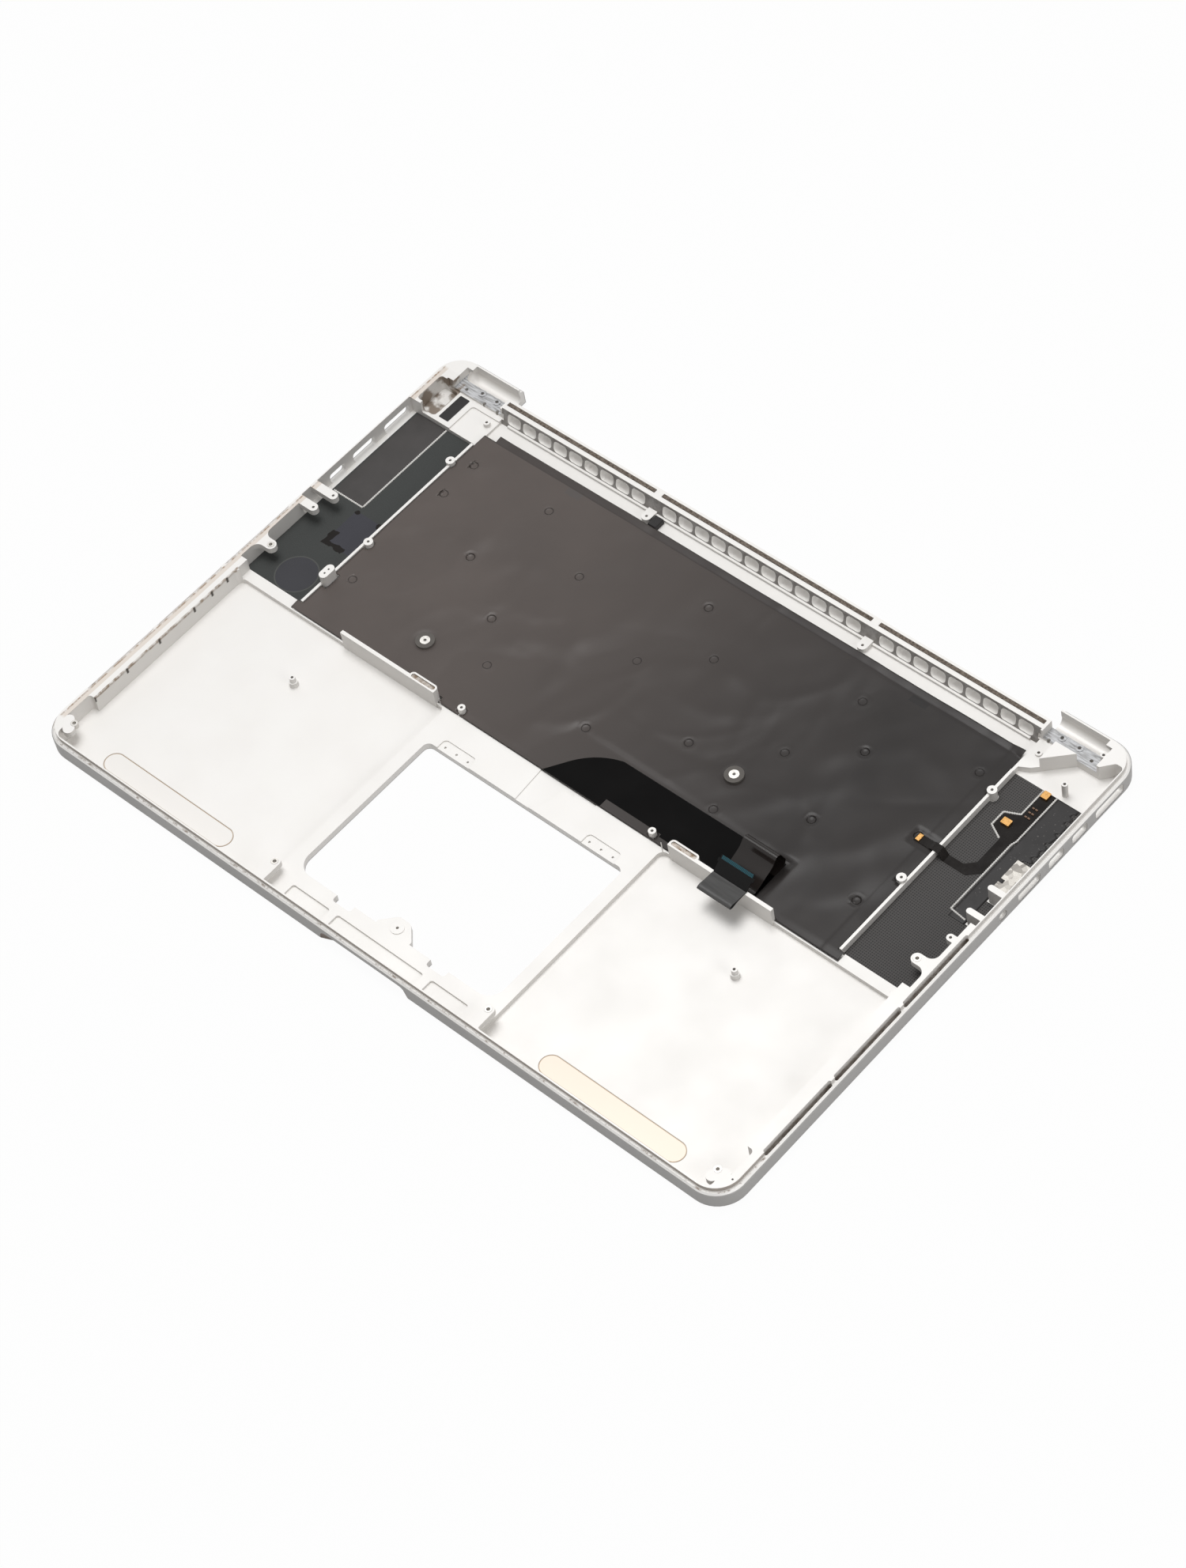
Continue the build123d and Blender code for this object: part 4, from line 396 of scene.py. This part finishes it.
# Cut-outs: strips behind the two front tabs, the front ribs, a post at the left and the left end of the flap
mid_x = (x[:-1, :-1] + x[1:, 1:]) / 2
mid_y = (y[:-1, :-1] + y[1:, 1:]) / 2
reach_x = np.abs(mid_x)
keep = (reach_x < 140.29) | (mid_y < -11.8)
keep &= ~((reach_x > 61.0) & (reach_x < 112.9) & (mid_y < -15.0))
keep &= ~((reach_x > 61.0) & (reach_x < 75.6) & (mid_y < -13.2))
keep &= ~((mid_x < -137.79) & (mid_y > -0.7) & (mid_y < 7.5))
keep &= ~((mid_x < -134.0) & (mid_y > flap_line))
for cx, cy, radius in holes:
    keep &= np.hypot(mid_x - cx, mid_y - cy) > radius
film_points = np.stack([x, y, FILM_TOP + relief], axis=-1) / 1000

# Polyester film: warm grey on the left and almost black on the right, a painted sheen that falls off across
# the sheet, with a soft sheen of its own
film_plastic, tree, shader, place = start_material("polyester_film_grey", "#45413f", 0.0, 0.36, 0.25)
side, along, height = add(tree, "SeparateXYZ", {0: place}).outputs
flat = add(tree, "CombineXYZ", {0: side, 1: along}).outputs[0]
sheen_painted_falloff = add(tree, "MapRange", {0: side, 1: -0.12, 2: 0.11}, interpolation_type="SMOOTHSTEP").outputs[0]
dark_patch = region(tree, (side, 0.088, 0.096, 0.0003), (along, 0.094, 0.097, 0.0003))
pale_patch = region(tree, (side, -0.092, -0.085, 0.0004), (along, 0.094, 0.097, 0.0004))
flap = overlap(tree, within(tree, along, 0.0974, everywhere, 0.0004), 0.6)
cloud = add(tree, "TexNoise", {"Vector": place, "Scale": 28.0, "Detail": 4.0}).outputs["Fac"]
clouded = add(tree, "MapRange", {0: cloud, 1: 0.35, 2: 0.7, 3: 0.0, 4: 0.3}).outputs[0]
dent = 1.0
for cx, cy in (screws / 1000).tolist():
    away = add(tree, "VectorMath", {0: flat, 1: (cx, cy, 0.0)}, operation="DISTANCE").outputs["Value"]
    rim = {0: away, 1: 0.0014, 2: 0.0021}
    rise = add(tree, "MapRange", rim, interpolation_type="SMOOTHSTEP").outputs[0]
    dent = overlap(tree, dent, rise)
inner = add(tree, "Math", {0: 1.0, 1: dent}, operation="SUBTRACT").outputs[0]
# Each screw dent gets a dark ring at its rim: painted shade
dent_painted_shade = overlap(tree, dent, inner, 2.4)
film_tone = coats(
    tree, "#625a56", (sheen_painted_falloff, "#2e2b2a"), (dark_patch, "#262424"), (pale_patch, "#5d5856"), (flap, "#2d2928"),
    (clouded, "#403b39"), (dent_painted_shade, "#2b2726"),
)
tree.links.new(film_tone, shader.inputs["Base Color"])
pressed = add(tree, "Bump", {"Strength": 1.0, "Distance": 0.0004, "Height": dent})
tree.links.new(pressed.outputs[0], shader.inputs["Normal"])
shade = add(tree, "MapRange", {0: cloud, 1: 0.3, 2: 0.7, 3: 0.28, 4: 0.4}).outputs[0]
tree.links.new(shade, shader.inputs["Roughness"])
film = fit_piece(
    "cover_film_sheet", sheet_mesh("cover_film_sheet", film_points, keep), film_plastic, "cover_film",
    "keyboard_cover_film",
)
thicken(film, FILM_THICKNESS / 1000)

# Small films and mouldings: a matt black corner film, a black connector and grey nylon washers.
# The film and the connector are glued down, and the washers are slipped over the standoffs.

# Black polyester: matt, with faint cloudy differences in shine
black_film, tree, shader, place = start_material("black_polyester_film", "#1f1d1d", 0.0, 0.5, 0.35)
cloud = add(tree, "TexNoise", {"Vector": place, "Scale": 220.0, "Detail": 4.0}).outputs["Fac"]
shade = add(tree, "MapRange", {0: cloud, 1: 0.3, 2: 0.7, 3: 0.42, 4: 0.6}).outputs[0]
tree.links.new(shade, shader.inputs["Roughness"])
paint(black_film, "corner_film", "backlight_connector")

# Moulded nylon: dull warm grey, a little uneven
washer_plastic, tree, shader, place = start_material("moulded_nylon_grey", "#5f5b58", 0.0, 0.6, 0.3)
cloud = add(tree, "TexNoise", {"Vector": place, "Scale": 700.0, "Detail": 3.0}).outputs["Fac"]
tree.links.new(coats(tree, "#575350", (cloud, "#68645f")), shader.inputs["Base Color"])
paint(washer_plastic, "film_washers")

# Keyboard ribbon: glossy near-black flat flex glued on the film, with its loop, rolled end and teal contacts.
# The loop climbs from the film onto the tall rib, where a stiffener behind the contacts stands up.

# Polyimide flex: black and glossy; the bent loop gets a lighter brown copy of the colour than the flat run,
# as painted sheen
for name, colour, shine in (("keyboard_ribbon", "#0a0909", 0.06), ("ribbon_tail", "#26211f", 0.3)):
    flex, tree, shader, place = start_material("polyimide_flex_black_" + name, colour, 0.0, 0.2, shine)
    cloud = add(tree, "TexNoise", {"Vector": place, "Scale": 60.0, "Detail": 2.0}).outputs["Fac"]
    shade = add(tree, "MapRange", {0: cloud, 1: 0.3, 2: 0.7, 3: 0.14, 4: 0.26}).outputs[0]
    tree.links.new(shade, shader.inputs["Roughness"])
    paint(flex, name)

# Glass epoxy: dull black board with a trace of its fibres
stiff, tree, shader, place = start_material("glass_epoxy_black", "#0a0a0a", 0.0, 0.6, 0.15)
fibres = add(tree, "TexNoise", {"Vector": place, "Scale": 900.0, "Detail": 2.0}).outputs["Fac"]
tree.links.new(coats(tree, "#080808", (fibres, "#121111")), shader.inputs["Base Color"])
paint(stiff, "ribbon_stiffener")

# Coated contacts: glossy teal lacquer with dark gaps between the pads, which repeat every 0.5 mm
teal, tree, shader, place = start_material("coated_contacts_teal", "#17434b", 0.0, 0.25, 0.3)
pads = add(tree, "TexWave", {"Vector": place, "Scale": 628.0}, bands_direction="X").outputs["Fac"]
between = add(tree, "MapRange", {0: pads, 1: 0.55, 2: 0.75}).outputs[0]
tree.links.new(coats(tree, "#1d5560", (between, "#0a2026")), shader.inputs["Base Color"])
paint(teal, "ribbon_contacts")

# Satin tape: dark grey with creases along the roll, about 1 mm apart; the colour follows the creases as
# painted shade in their hollows and painted highlight on their ridges
tape, tree, shader, place = start_material("satin_tape_grey", "#3c3b3b", 0.0, 0.36, 0.4)
creases = add(tree, "Mapping", {"Vector": place, "Scale": (90.0, 900.0, 90.0)}).outputs[0]
crease_relief_and_shade = add(tree, "TexNoise", {"Vector": creases, "Scale": 1.0, "Detail": 2.0}).outputs["Fac"]
tree.links.new(coats(tree, "#2a2a2a", (crease_relief_and_shade, "#4e4d4c")), shader.inputs["Base Color"])
fold = add(tree, "Bump", {"Strength": 0.25, "Distance": 0.0003, "Height": crease_relief_and_shade})
tree.links.new(fold.outputs[0], shader.inputs["Normal"])
paint(tape, "ribbon_tape")

# Speaker cloths: tightly woven dark mesh, cut to the wells and glued to their floors.
# The right one shows a square grid of pinholes; the left one two faint patches and a dark smear.

# Woven polyester: dark grey, with pinholes 1 mm apart over a weave of about 0.5 mm
right_cloth, tree, shader, place = start_material("woven_polyester_mesh", "#4a4847", 0.0, 0.7, 0.3)
grid = {"Vector": place, "Scale": 1000.0, "Randomness": 0.0}
pins = add(tree, "TexVoronoi", grid, voronoi_dimensions="2D").outputs["Distance"]
pinned = add(tree, "MapRange", {0: pins, 1: 0.2, 2: 0.32, 3: 1.0, 4: 0.0}).outputs[0]
weave = add(tree, "TexNoise", {"Vector": place, "Scale": 2200.0, "Detail": 2.0}).outputs["Fac"]
tree.links.new(coats(tree, "#474544", (weave, "#5a5857"), (pinned, "#1d1c1c")), shader.inputs["Base Color"])
nap = add(tree, "Bump", {"Strength": 0.3, "Distance": 0.0002, "Height": weave})
tree.links.new(nap.outputs[0], shader.inputs["Normal"])
paint(right_cloth, "right_speaker_cloth")

# The same weave in slate, with marks that are a little lighter or almost black
left_cloth, tree, shader, place = start_material("woven_polyester_mesh_slate", "#424443", 0.0, 0.65, 0.2)
side, along, height = add(tree, "SeparateXYZ", {0: place}).outputs
flat = add(tree, "CombineXYZ", {0: side, 1: along}).outputs[0]
weave = add(tree, "TexNoise", {"Vector": place, "Scale": 2200.0, "Detail": 2.0}).outputs["Fac"]
patch_middle = (-0.155, -0.001, 0.0)
from_patch = add(tree, "VectorMath", {0: flat, 1: patch_middle}, operation="DISTANCE").outputs["Value"]
round_patch = within(tree, from_patch, -everywhere, 0.009, 0.0004)
halo = within(tree, from_patch, 0.0091, 0.0094, 0.0003)
square_patch = region(tree, (side, -0.158, -0.1443, 0.0003), (along, 0.0184, 0.0378, 0.0003))
blots = add(tree, "TexNoise", {"Vector": place, "Scale": 300.0, "Detail": 2.0}).outputs["Fac"]
wobble = add(tree, "MapRange", {0: blots, 1: 0.3, 2: 0.7, 3: -0.0006, 4: 0.0006}).outputs[0]
edge_x = add(tree, "Math", {0: side, 1: wobble}, operation="ADD").outputs[0]
edge_y = add(tree, "Math", {0: along, 1: wobble}, operation="ADD").outputs[0]
foot = region(tree, (edge_x, -0.1586, -0.1478, 0.0004), (edge_y, 0.0176, 0.0198, 0.0003))
leg = region(tree, (edge_x, -0.1588, -0.1562, 0.0003), (edge_y, 0.0176, 0.0250, 0.0004))
smear = add(tree, "Math", {0: foot, 1: leg}, operation="MAXIMUM").outputs[0]
for corner in ((-0.1573, 0.0375, 0.0), (-0.1446, 0.0372, 0.0)):
    away = add(tree, "VectorMath", {0: flat, 1: corner}, operation="DISTANCE").outputs["Value"]
    away = add(tree, "Math", {0: away, 1: wobble}, operation="ADD").outputs[0]
    blot = within(tree, away, -everywhere, 0.0012, 0.0003)
    smear = add(tree, "Math", {0: smear, 1: blot}, operation="MAXIMUM").outputs[0]
cloth_tone = coats(
    tree, "#3c3e3d", (weave, "#494b4a"), (round_patch, "#444448"), (halo, "#555654"),
    (square_patch, "#434349"), (smear, "#130f0c"),
)
tree.links.new(cloth_tone, shader.inputs["Base Color"])
nap = add(tree, "Bump", {"Strength": 0.2, "Distance": 0.0002, "Height": weave})
tree.links.new(nap.outputs[0], shader.inputs["Normal"])
paint(left_cloth, "left_speaker_cloth")

# Port films: black polyester glued over the port side of both cloths.
# The right one is cut ragged along the wall, in steps of a few millimetres.

# Specked polyester: near-black, with pale dust specks
dark_film, tree, shader, place = start_material("black_polyester_film_specked", "#262424", 0.0, 0.45, 0.35)
specks = add(tree, "TexNoise", {"Vector": place, "Scale": 900.0, "Detail": 3.0}).outputs["Fac"]
specked = add(tree, "MapRange", {0: specks, 1: 0.66, 2: 0.72, 3: 0.0, 4: 0.6}).outputs[0]
tree.links.new(coats(tree, "#252323", (specked, "#7a7672")), shader.inputs["Base Color"])
cloud = add(tree, "TexNoise", {"Vector": place, "Scale": 160.0, "Detail": 3.0}).outputs["Fac"]
shade = add(tree, "MapRange", {0: cloud, 1: 0.3, 2: 0.7, 3: 0.36, 4: 0.55}).outputs[0]
tree.links.new(shade, shader.inputs["Roughness"])

# Worn polyester: the left film has rubbed to a cloudy dark grey
side_film, tree, shader, place = start_material("black_polyester_film_worn", "#434140", 0.0, 0.5, 0.3)
cloud = add(tree, "TexNoise", {"Vector": place, "Scale": 120.0, "Detail": 3.0}).outputs["Fac"]
tree.links.new(coats(tree, "#3d3b3a", (cloud, "#4b4847")), shader.inputs["Base Color"])
paint(side_film, "left_film")

# The right film is a grid between its straight inner edge and a stepped outer edge, in millimetres
PORT_FILM_TOP = 1.445
PORT_FILM_THICKNESS = 0.12
inner_edge, bracket_edge, outer_edge, bracket_end = 161.95, 169.4, 172.6, 62.2
chance = np.random.default_rng(5)
cut_y = np.linspace(25.9, 91.9, 133)
jag = np.repeat(chance.uniform(-1.5, 1.0, 34), 4)[:133] + chance.uniform(-0.25, 0.25, 133)
cut_x = np.where(cut_y < bracket_end, bracket_edge, outer_edge + jag)
share = np.linspace(0.0, 1.0, 9)
film_x = inner_edge + (cut_x[:, None] - inner_edge) * share
film_y = np.broadcast_to(cut_y[:, None], film_x.shape)
film_points = np.stack([film_x, film_y, np.full_like(film_x, PORT_FILM_TOP)], axis=-1) / 1000
film = fit_piece(
    "port_film_sheet", sheet_mesh("port_film_sheet", film_points), dark_film, "black_plastic", "port_film"
)
thicken(film, PORT_FILM_THICKNESS / 1000)

# Glue beads: pale dotted lines of dispensed glue, up to 1 mm across.
# They hold the flex and the films to the cloths.


def bead_mesh(name, corners, radius, pitch, level):
    """Round bead along straight runs: centre c(s), radius r(s) = r (0.8 + 0.2 cos(2 pi s/pitch)).

    A point is c(s) + r(s) (cos a across the run + sin a upwards); both ends are closed by a face.
    """
    corners = np.array(corners)
    steps = np.concatenate([[0.0], np.cumsum(np.linalg.norm(np.diff(corners, axis=0), axis=1))])
    s = np.linspace(0.0, steps[-1], int(steps[-1] / pitch * 6) + 2)
    x, y = np.interp(s, steps, corners[:, 0]), np.interp(s, steps, corners[:, 1])
    head = np.arctan2(np.gradient(y), np.gradient(x))[:, None]
    size = radius * (0.8 + 0.2 * np.cos(2 * np.pi * s / pitch))
    a = np.linspace(0.0, 2 * np.pi, 9)[:-1]
    spread = size[:, None] * np.cos(a)
    rise = level + size[:, None] * np.sin(a)
    rings = np.stack([x[:, None] - np.sin(head) * spread, y[:, None] + np.cos(head) * spread, rise], -1)
    index = np.arange(rings.shape[0] * 8).reshape(-1, 8)
    after = np.roll(index, -1, axis=1)
    quads = np.stack([index[:-1], after[:-1], after[1:], index[1:]], axis=-1).reshape(-1, 4)
    mesh = bpy.data.meshes.new(name)
    ends = [index[0][::-1].tolist(), index[-1].tolist()]
    mesh.from_pydata((rings.reshape(-1, 3) / 1000).tolist(), [], quads.tolist() + ends)
    mesh.shade_smooth()
    return mesh


# Cured glue: white and half glossy, with drops that shine more than others
glue, tree, shader, place = start_material("cured_glue_white", "#e6e4e0", 0.0, 0.35)
drops = add(tree, "TexNoise", {"Vector": place, "Scale": 700.0, "Detail": 2.0}).outputs["Fac"]
shade = add(tree, "MapRange", {0: drops, 1: 0.3, 2: 0.7, 3: 0.25, 4: 0.5}).outputs[0]
tree.links.new(shade, shader.inputs["Roughness"])
BEAD_RADIUS, BEAD_PITCH, BEAD_LEVEL = 0.5, 0.95, 1.35
glue_runs = (
    ((155.4, 91.6), (155.4, 78.0), (149.2, 75.2), (149.2, 68.0), (155.4, 64.6)),
    ((161.75, 91.6), (161.75, 67.0), (161.0, 64.8), (161.0, 28.8), (168.5, 27.8)),
    ((-157.3, 91.6), (-157.3, 41.0)),
    ((-173.6, 40.6), (-157.3, 40.6)),
)
for count, corners in enumerate(glue_runs, 1):
    name = "glue_bead_%d" % count
    fit_piece(name, bead_mesh(name, corners, BEAD_RADIUS, BEAD_PITCH, BEAD_LEVEL), glue, "light_guide")

# Microphone flex: dark brown shaped flex glued on the right cloth.
# Gold-plated cans, a gold-plated plug and small chips are soldered onto it.

# Polyimide flex: brown-black and glossy, uneven over the buried traces
flex_plastic, tree, shader, place = start_material("polyimide_flex_brown", "#1a1614", 0.0, 0.25, 0.15)
traces = add(tree, "TexNoise", {"Vector": place, "Scale": 300.0, "Detail": 2.0}).outputs["Fac"]
shade = add(tree, "MapRange", {0: traces, 1: 0.3, 2: 0.7, 3: 0.18, 4: 0.34}).outputs[0]
tree.links.new(shade, shader.inputs["Roughness"])
paint(flex_plastic, "microphone_flex")

# Gold plate: a warm metal, rubbed duller in places
gold, tree, shader, place = start_material("gold_plate", "#c4975d", 1.0, 0.3)
rub = add(tree, "TexNoise", {"Vector": place, "Scale": 1200.0, "Detail": 2.0}).outputs["Fac"]
shade = add(tree, "MapRange", {0: rub, 1: 0.3, 2: 0.7, 3: 0.2, 4: 0.42}).outputs[0]
tree.links.new(shade, shader.inputs["Roughness"])
paint(gold, "microphones", "microphone_plug")

# Fired ceramic: dull brown bodies of the chips, mottled light and dark
chip, tree, shader, place = start_material("ceramic_chip_brown", "#7a5a44", 0.0, 0.5)
fired = add(tree, "TexNoise", {"Vector": place, "Scale": 1500.0, "Detail": 2.0}).outputs["Fac"]
tree.links.new(coats(tree, "#5e4433", (fired, "#9b7a60")), shader.inputs["Base Color"])
paint(chip, "flex_components")

# Foam gaskets: brown-grey open-cell strips pressed into the grooves of the exhaust bar.
# Cells of about 1 mm give the strips a rough, speckled face without shine.
foam, tree, shader, place = start_material("open_cell_foam_brown", "#6f655c", 0.0, 0.9, 0.2)
pores = {"Vector": place, "Scale": 1100.0, "Detail": 4.0, "Roughness": 0.7}
cells = add(tree, "TexNoise", pores).outputs["Fac"]
cellular = add(tree, "MapRange", {0: cells, 1: 0.35, 2: 0.65}).outputs[0]
tree.links.new(coats(tree, "#4e453e", (cellular, "#91867b")), shader.inputs["Base Color"])
pore = add(tree, "Bump", {"Strength": 0.6, "Distance": 0.0003, "Height": cells})
tree.links.new(pore.outputs[0], shader.inputs["Normal"])
paint(foam, "rear_gaskets")

# Palm rest inlays: thin nickel-plated strips with round ends, bonded into shallow seats.
# The right one looks cream, and the glue has browned in a thin line along the edges of both.
inlay, tree, shader, place = start_material("nickel_plate_cream", "#eee6db", 0.2, 0.4)
inlay_middle_x, inlay_middle_y, inlay_straight = 0.1171, -0.1133, 0.0302
side, along, height = add(tree, "SeparateXYZ", {0: place}).outputs
across = add(tree, "Math", {0: side}, operation="ABSOLUTE").outputs[0]
from_middle = add(tree, "Math", {0: across, 1: inlay_middle_x}, operation="SUBTRACT").outputs[0]
limits = {"Value": from_middle, "Min": -inlay_straight, "Max": inlay_straight}
straight = add(tree, "Clamp", limits).outputs[0]
end = add(tree, "Math", {0: from_middle, 1: straight}, operation="SUBTRACT").outputs[0]
wide = add(tree, "Math", {0: along, 1: -inlay_middle_y}, operation="ADD").outputs[0]
out_xy = add(tree, "CombineXYZ", {0: end, 1: wide}).outputs[0]
from_line = add(tree, "VectorMath", {0: out_xy}, operation="LENGTH").outputs["Value"]
right_side = add(tree, "Math", {0: side, 1: 0.0}, operation="GREATER_THAN").outputs[0]
rim_glue = within(tree, from_line, 0.00438, 0.006, 0.00012)
inlay_tone = coats(tree, "#f3f0ec", (right_side, "#efe3d4"), (rim_glue, "#b9a48c"))
tree.links.new(inlay_tone, shader.inputs["Base Color"])
paint(inlay, "palm_inlays")

# Port bracket: tin-plated steel sheet, folded up at both ends and fixed behind the front port.
# The tin has grown a mottled bloom of light and dark patches about 2 mm wide.
tin, tree, shader, place = start_material("tin_plate", "#cfcfce", 0.8, 0.35)
bloom = add(tree, "TexVoronoi", {"Vector": place, "Scale": 480.0}).outputs["Color"]
bloomed = add(tree, "SeparateColor", {0: bloom}).outputs[0]
tree.links.new(coats(tree, "#cfcbc4", (bloomed, "#86827d")), shader.inputs["Base Color"])
shade = add(tree, "MapRange", {0: bloomed, 3: 0.25, 4: 0.5}).outputs[0]
tree.links.new(shade, shader.inputs["Roughness"])
paint(tin, "port_bracket")

# Pale floor and white surround: both look white to the camera and in reflections.
# The floor keeps a share of its own shading, so that the part's shadow stays on it.


def seen_directly(tree):
    """Gives 1 on rays from the camera and on mirrored or transmitted ones, and 0 on the rays that light."""
    path = add(tree, "LightPath").outputs
    seen = {0: path["Is Camera Ray"], 1: path["Is Glossy Ray"]}
    seen = {0: add(tree, "Math", seen, operation="MAXIMUM").outputs[0], 1: path["Is Transmission Ray"]}
    return add(tree, "Math", seen, operation="MAXIMUM").outputs[0]


FLOOR_HALF, FLOOR_LEVEL, FLOOR_WHITE = 3, -0.0004, 0.96
AMBIENT = 0.26
floor_mesh = bpy.data.meshes.new("floor")
signs = ((-1, -1), (1, -1), (1, 1), (-1, 1))
floor_corners = [(FLOOR_HALF * sx, FLOOR_HALF * sy, FLOOR_LEVEL) for sx, sy in signs]
floor_mesh.from_pydata(floor_corners, [], [(0, 1, 2, 3)])
floor = bpy.data.objects.new("floor", floor_mesh)
bpy.context.scene.collection.objects.link(floor)
pale, tree, shader, place = start_material("pale_floor", "#efefef", 0.0, 0.9)
share = overlap(tree, seen_directly(tree), FLOOR_WHITE)
white = add(tree, "Emission", {"Color": (1, 1, 1, 1), "Strength": 1.0})
mix = add(tree, "MixShader", {0: share, 1: shader.outputs[0], 2: white.outputs[0]})
tree.links.new(mix.outputs[0], tree.nodes["Material Output"].inputs[0])
floor_mesh.materials.append(pale)

world = bpy.data.worlds.new("studio")
bpy.context.scene.world = world
world.use_nodes = True
tree = world.node_tree
ambient = tree.nodes["Background"]
ambient.inputs["Color"].default_value = (1, 1, 1, 1)
ambient.inputs["Strength"].default_value = AMBIENT
around = add(tree, "Background", {"Color": (1, 1, 1, 1), "Strength": 1.0})
mix = add(tree, "MixShader", {0: seen_directly(tree), 1: ambient.outputs[0], 2: around.outputs[0]})
tree.links.new(mix.outputs[0], tree.nodes["World Output"].inputs[0])

# Lamps: a softbox above, a little to the left, and a weaker one low on the right, both a metre square.
# Each is turned to the middle of the part.
for name, energy, spot in (("softbox", 19.0, (-0.25, 0.15, 1.85)), ("side_fill", 8.0, (1.7, -0.1, 0.6))):
    light = bpy.data.lights.new(name, "AREA")
    light.shape = "SQUARE"
    light.size = 1.0
    light.energy = energy
    lamp = bpy.data.objects.new(name, light)
    bpy.context.scene.collection.objects.link(lamp)
    lamp.location = spot
    lamp.rotation_euler = (-Vector(spot)).to_track_quat("-Z", "Y").to_euler()

# Camera: where the photograph was taken from, fitted to the outline of the part.
# The focal length and the picture's height are in pixels of the photograph.
FOCAL_PIXELS, PICTURE_HEIGHT, SENSOR = 5103.7, 1983, 36.0
CAMERA_DISTANCE = 1.5522
target = np.array([0.01612, -0.00979, 0.005])
azimuth, elevation, roll = np.radians([51.590, 52.796, -12.290])
lens = bpy.data.cameras.new("camera")
lens.sensor_width = SENSOR
lens.lens = FOCAL_PIXELS / PICTURE_HEIGHT * SENSOR
lens.clip_end = 20.0
camera = bpy.data.objects.new("camera", lens)
bpy.context.scene.collection.objects.link(camera)
level = np.array([np.sin(azimuth), -np.cos(azimuth), 0.0])
back = level * np.cos(elevation) + np.array([0.0, 0.0, np.sin(elevation)])
right = np.cross(-back, (0, 0, 1))
right /= np.linalg.norm(right)
up = np.cross(right, -back)
turn = np.eye(4)
turn[:3, 0] = right * np.cos(roll) + up * np.sin(roll)
turn[:3, 1] = up * np.cos(roll) - right * np.sin(roll)
turn[:3, 2] = back
turn[:3, 3] = target + back * CAMERA_DISTANCE
camera.matrix_world = [tuple(row) for row in turn.T.tolist()]
bpy.context.scene.camera = camera
bpy.context.scene.view_settings.view_transform = "Standard"
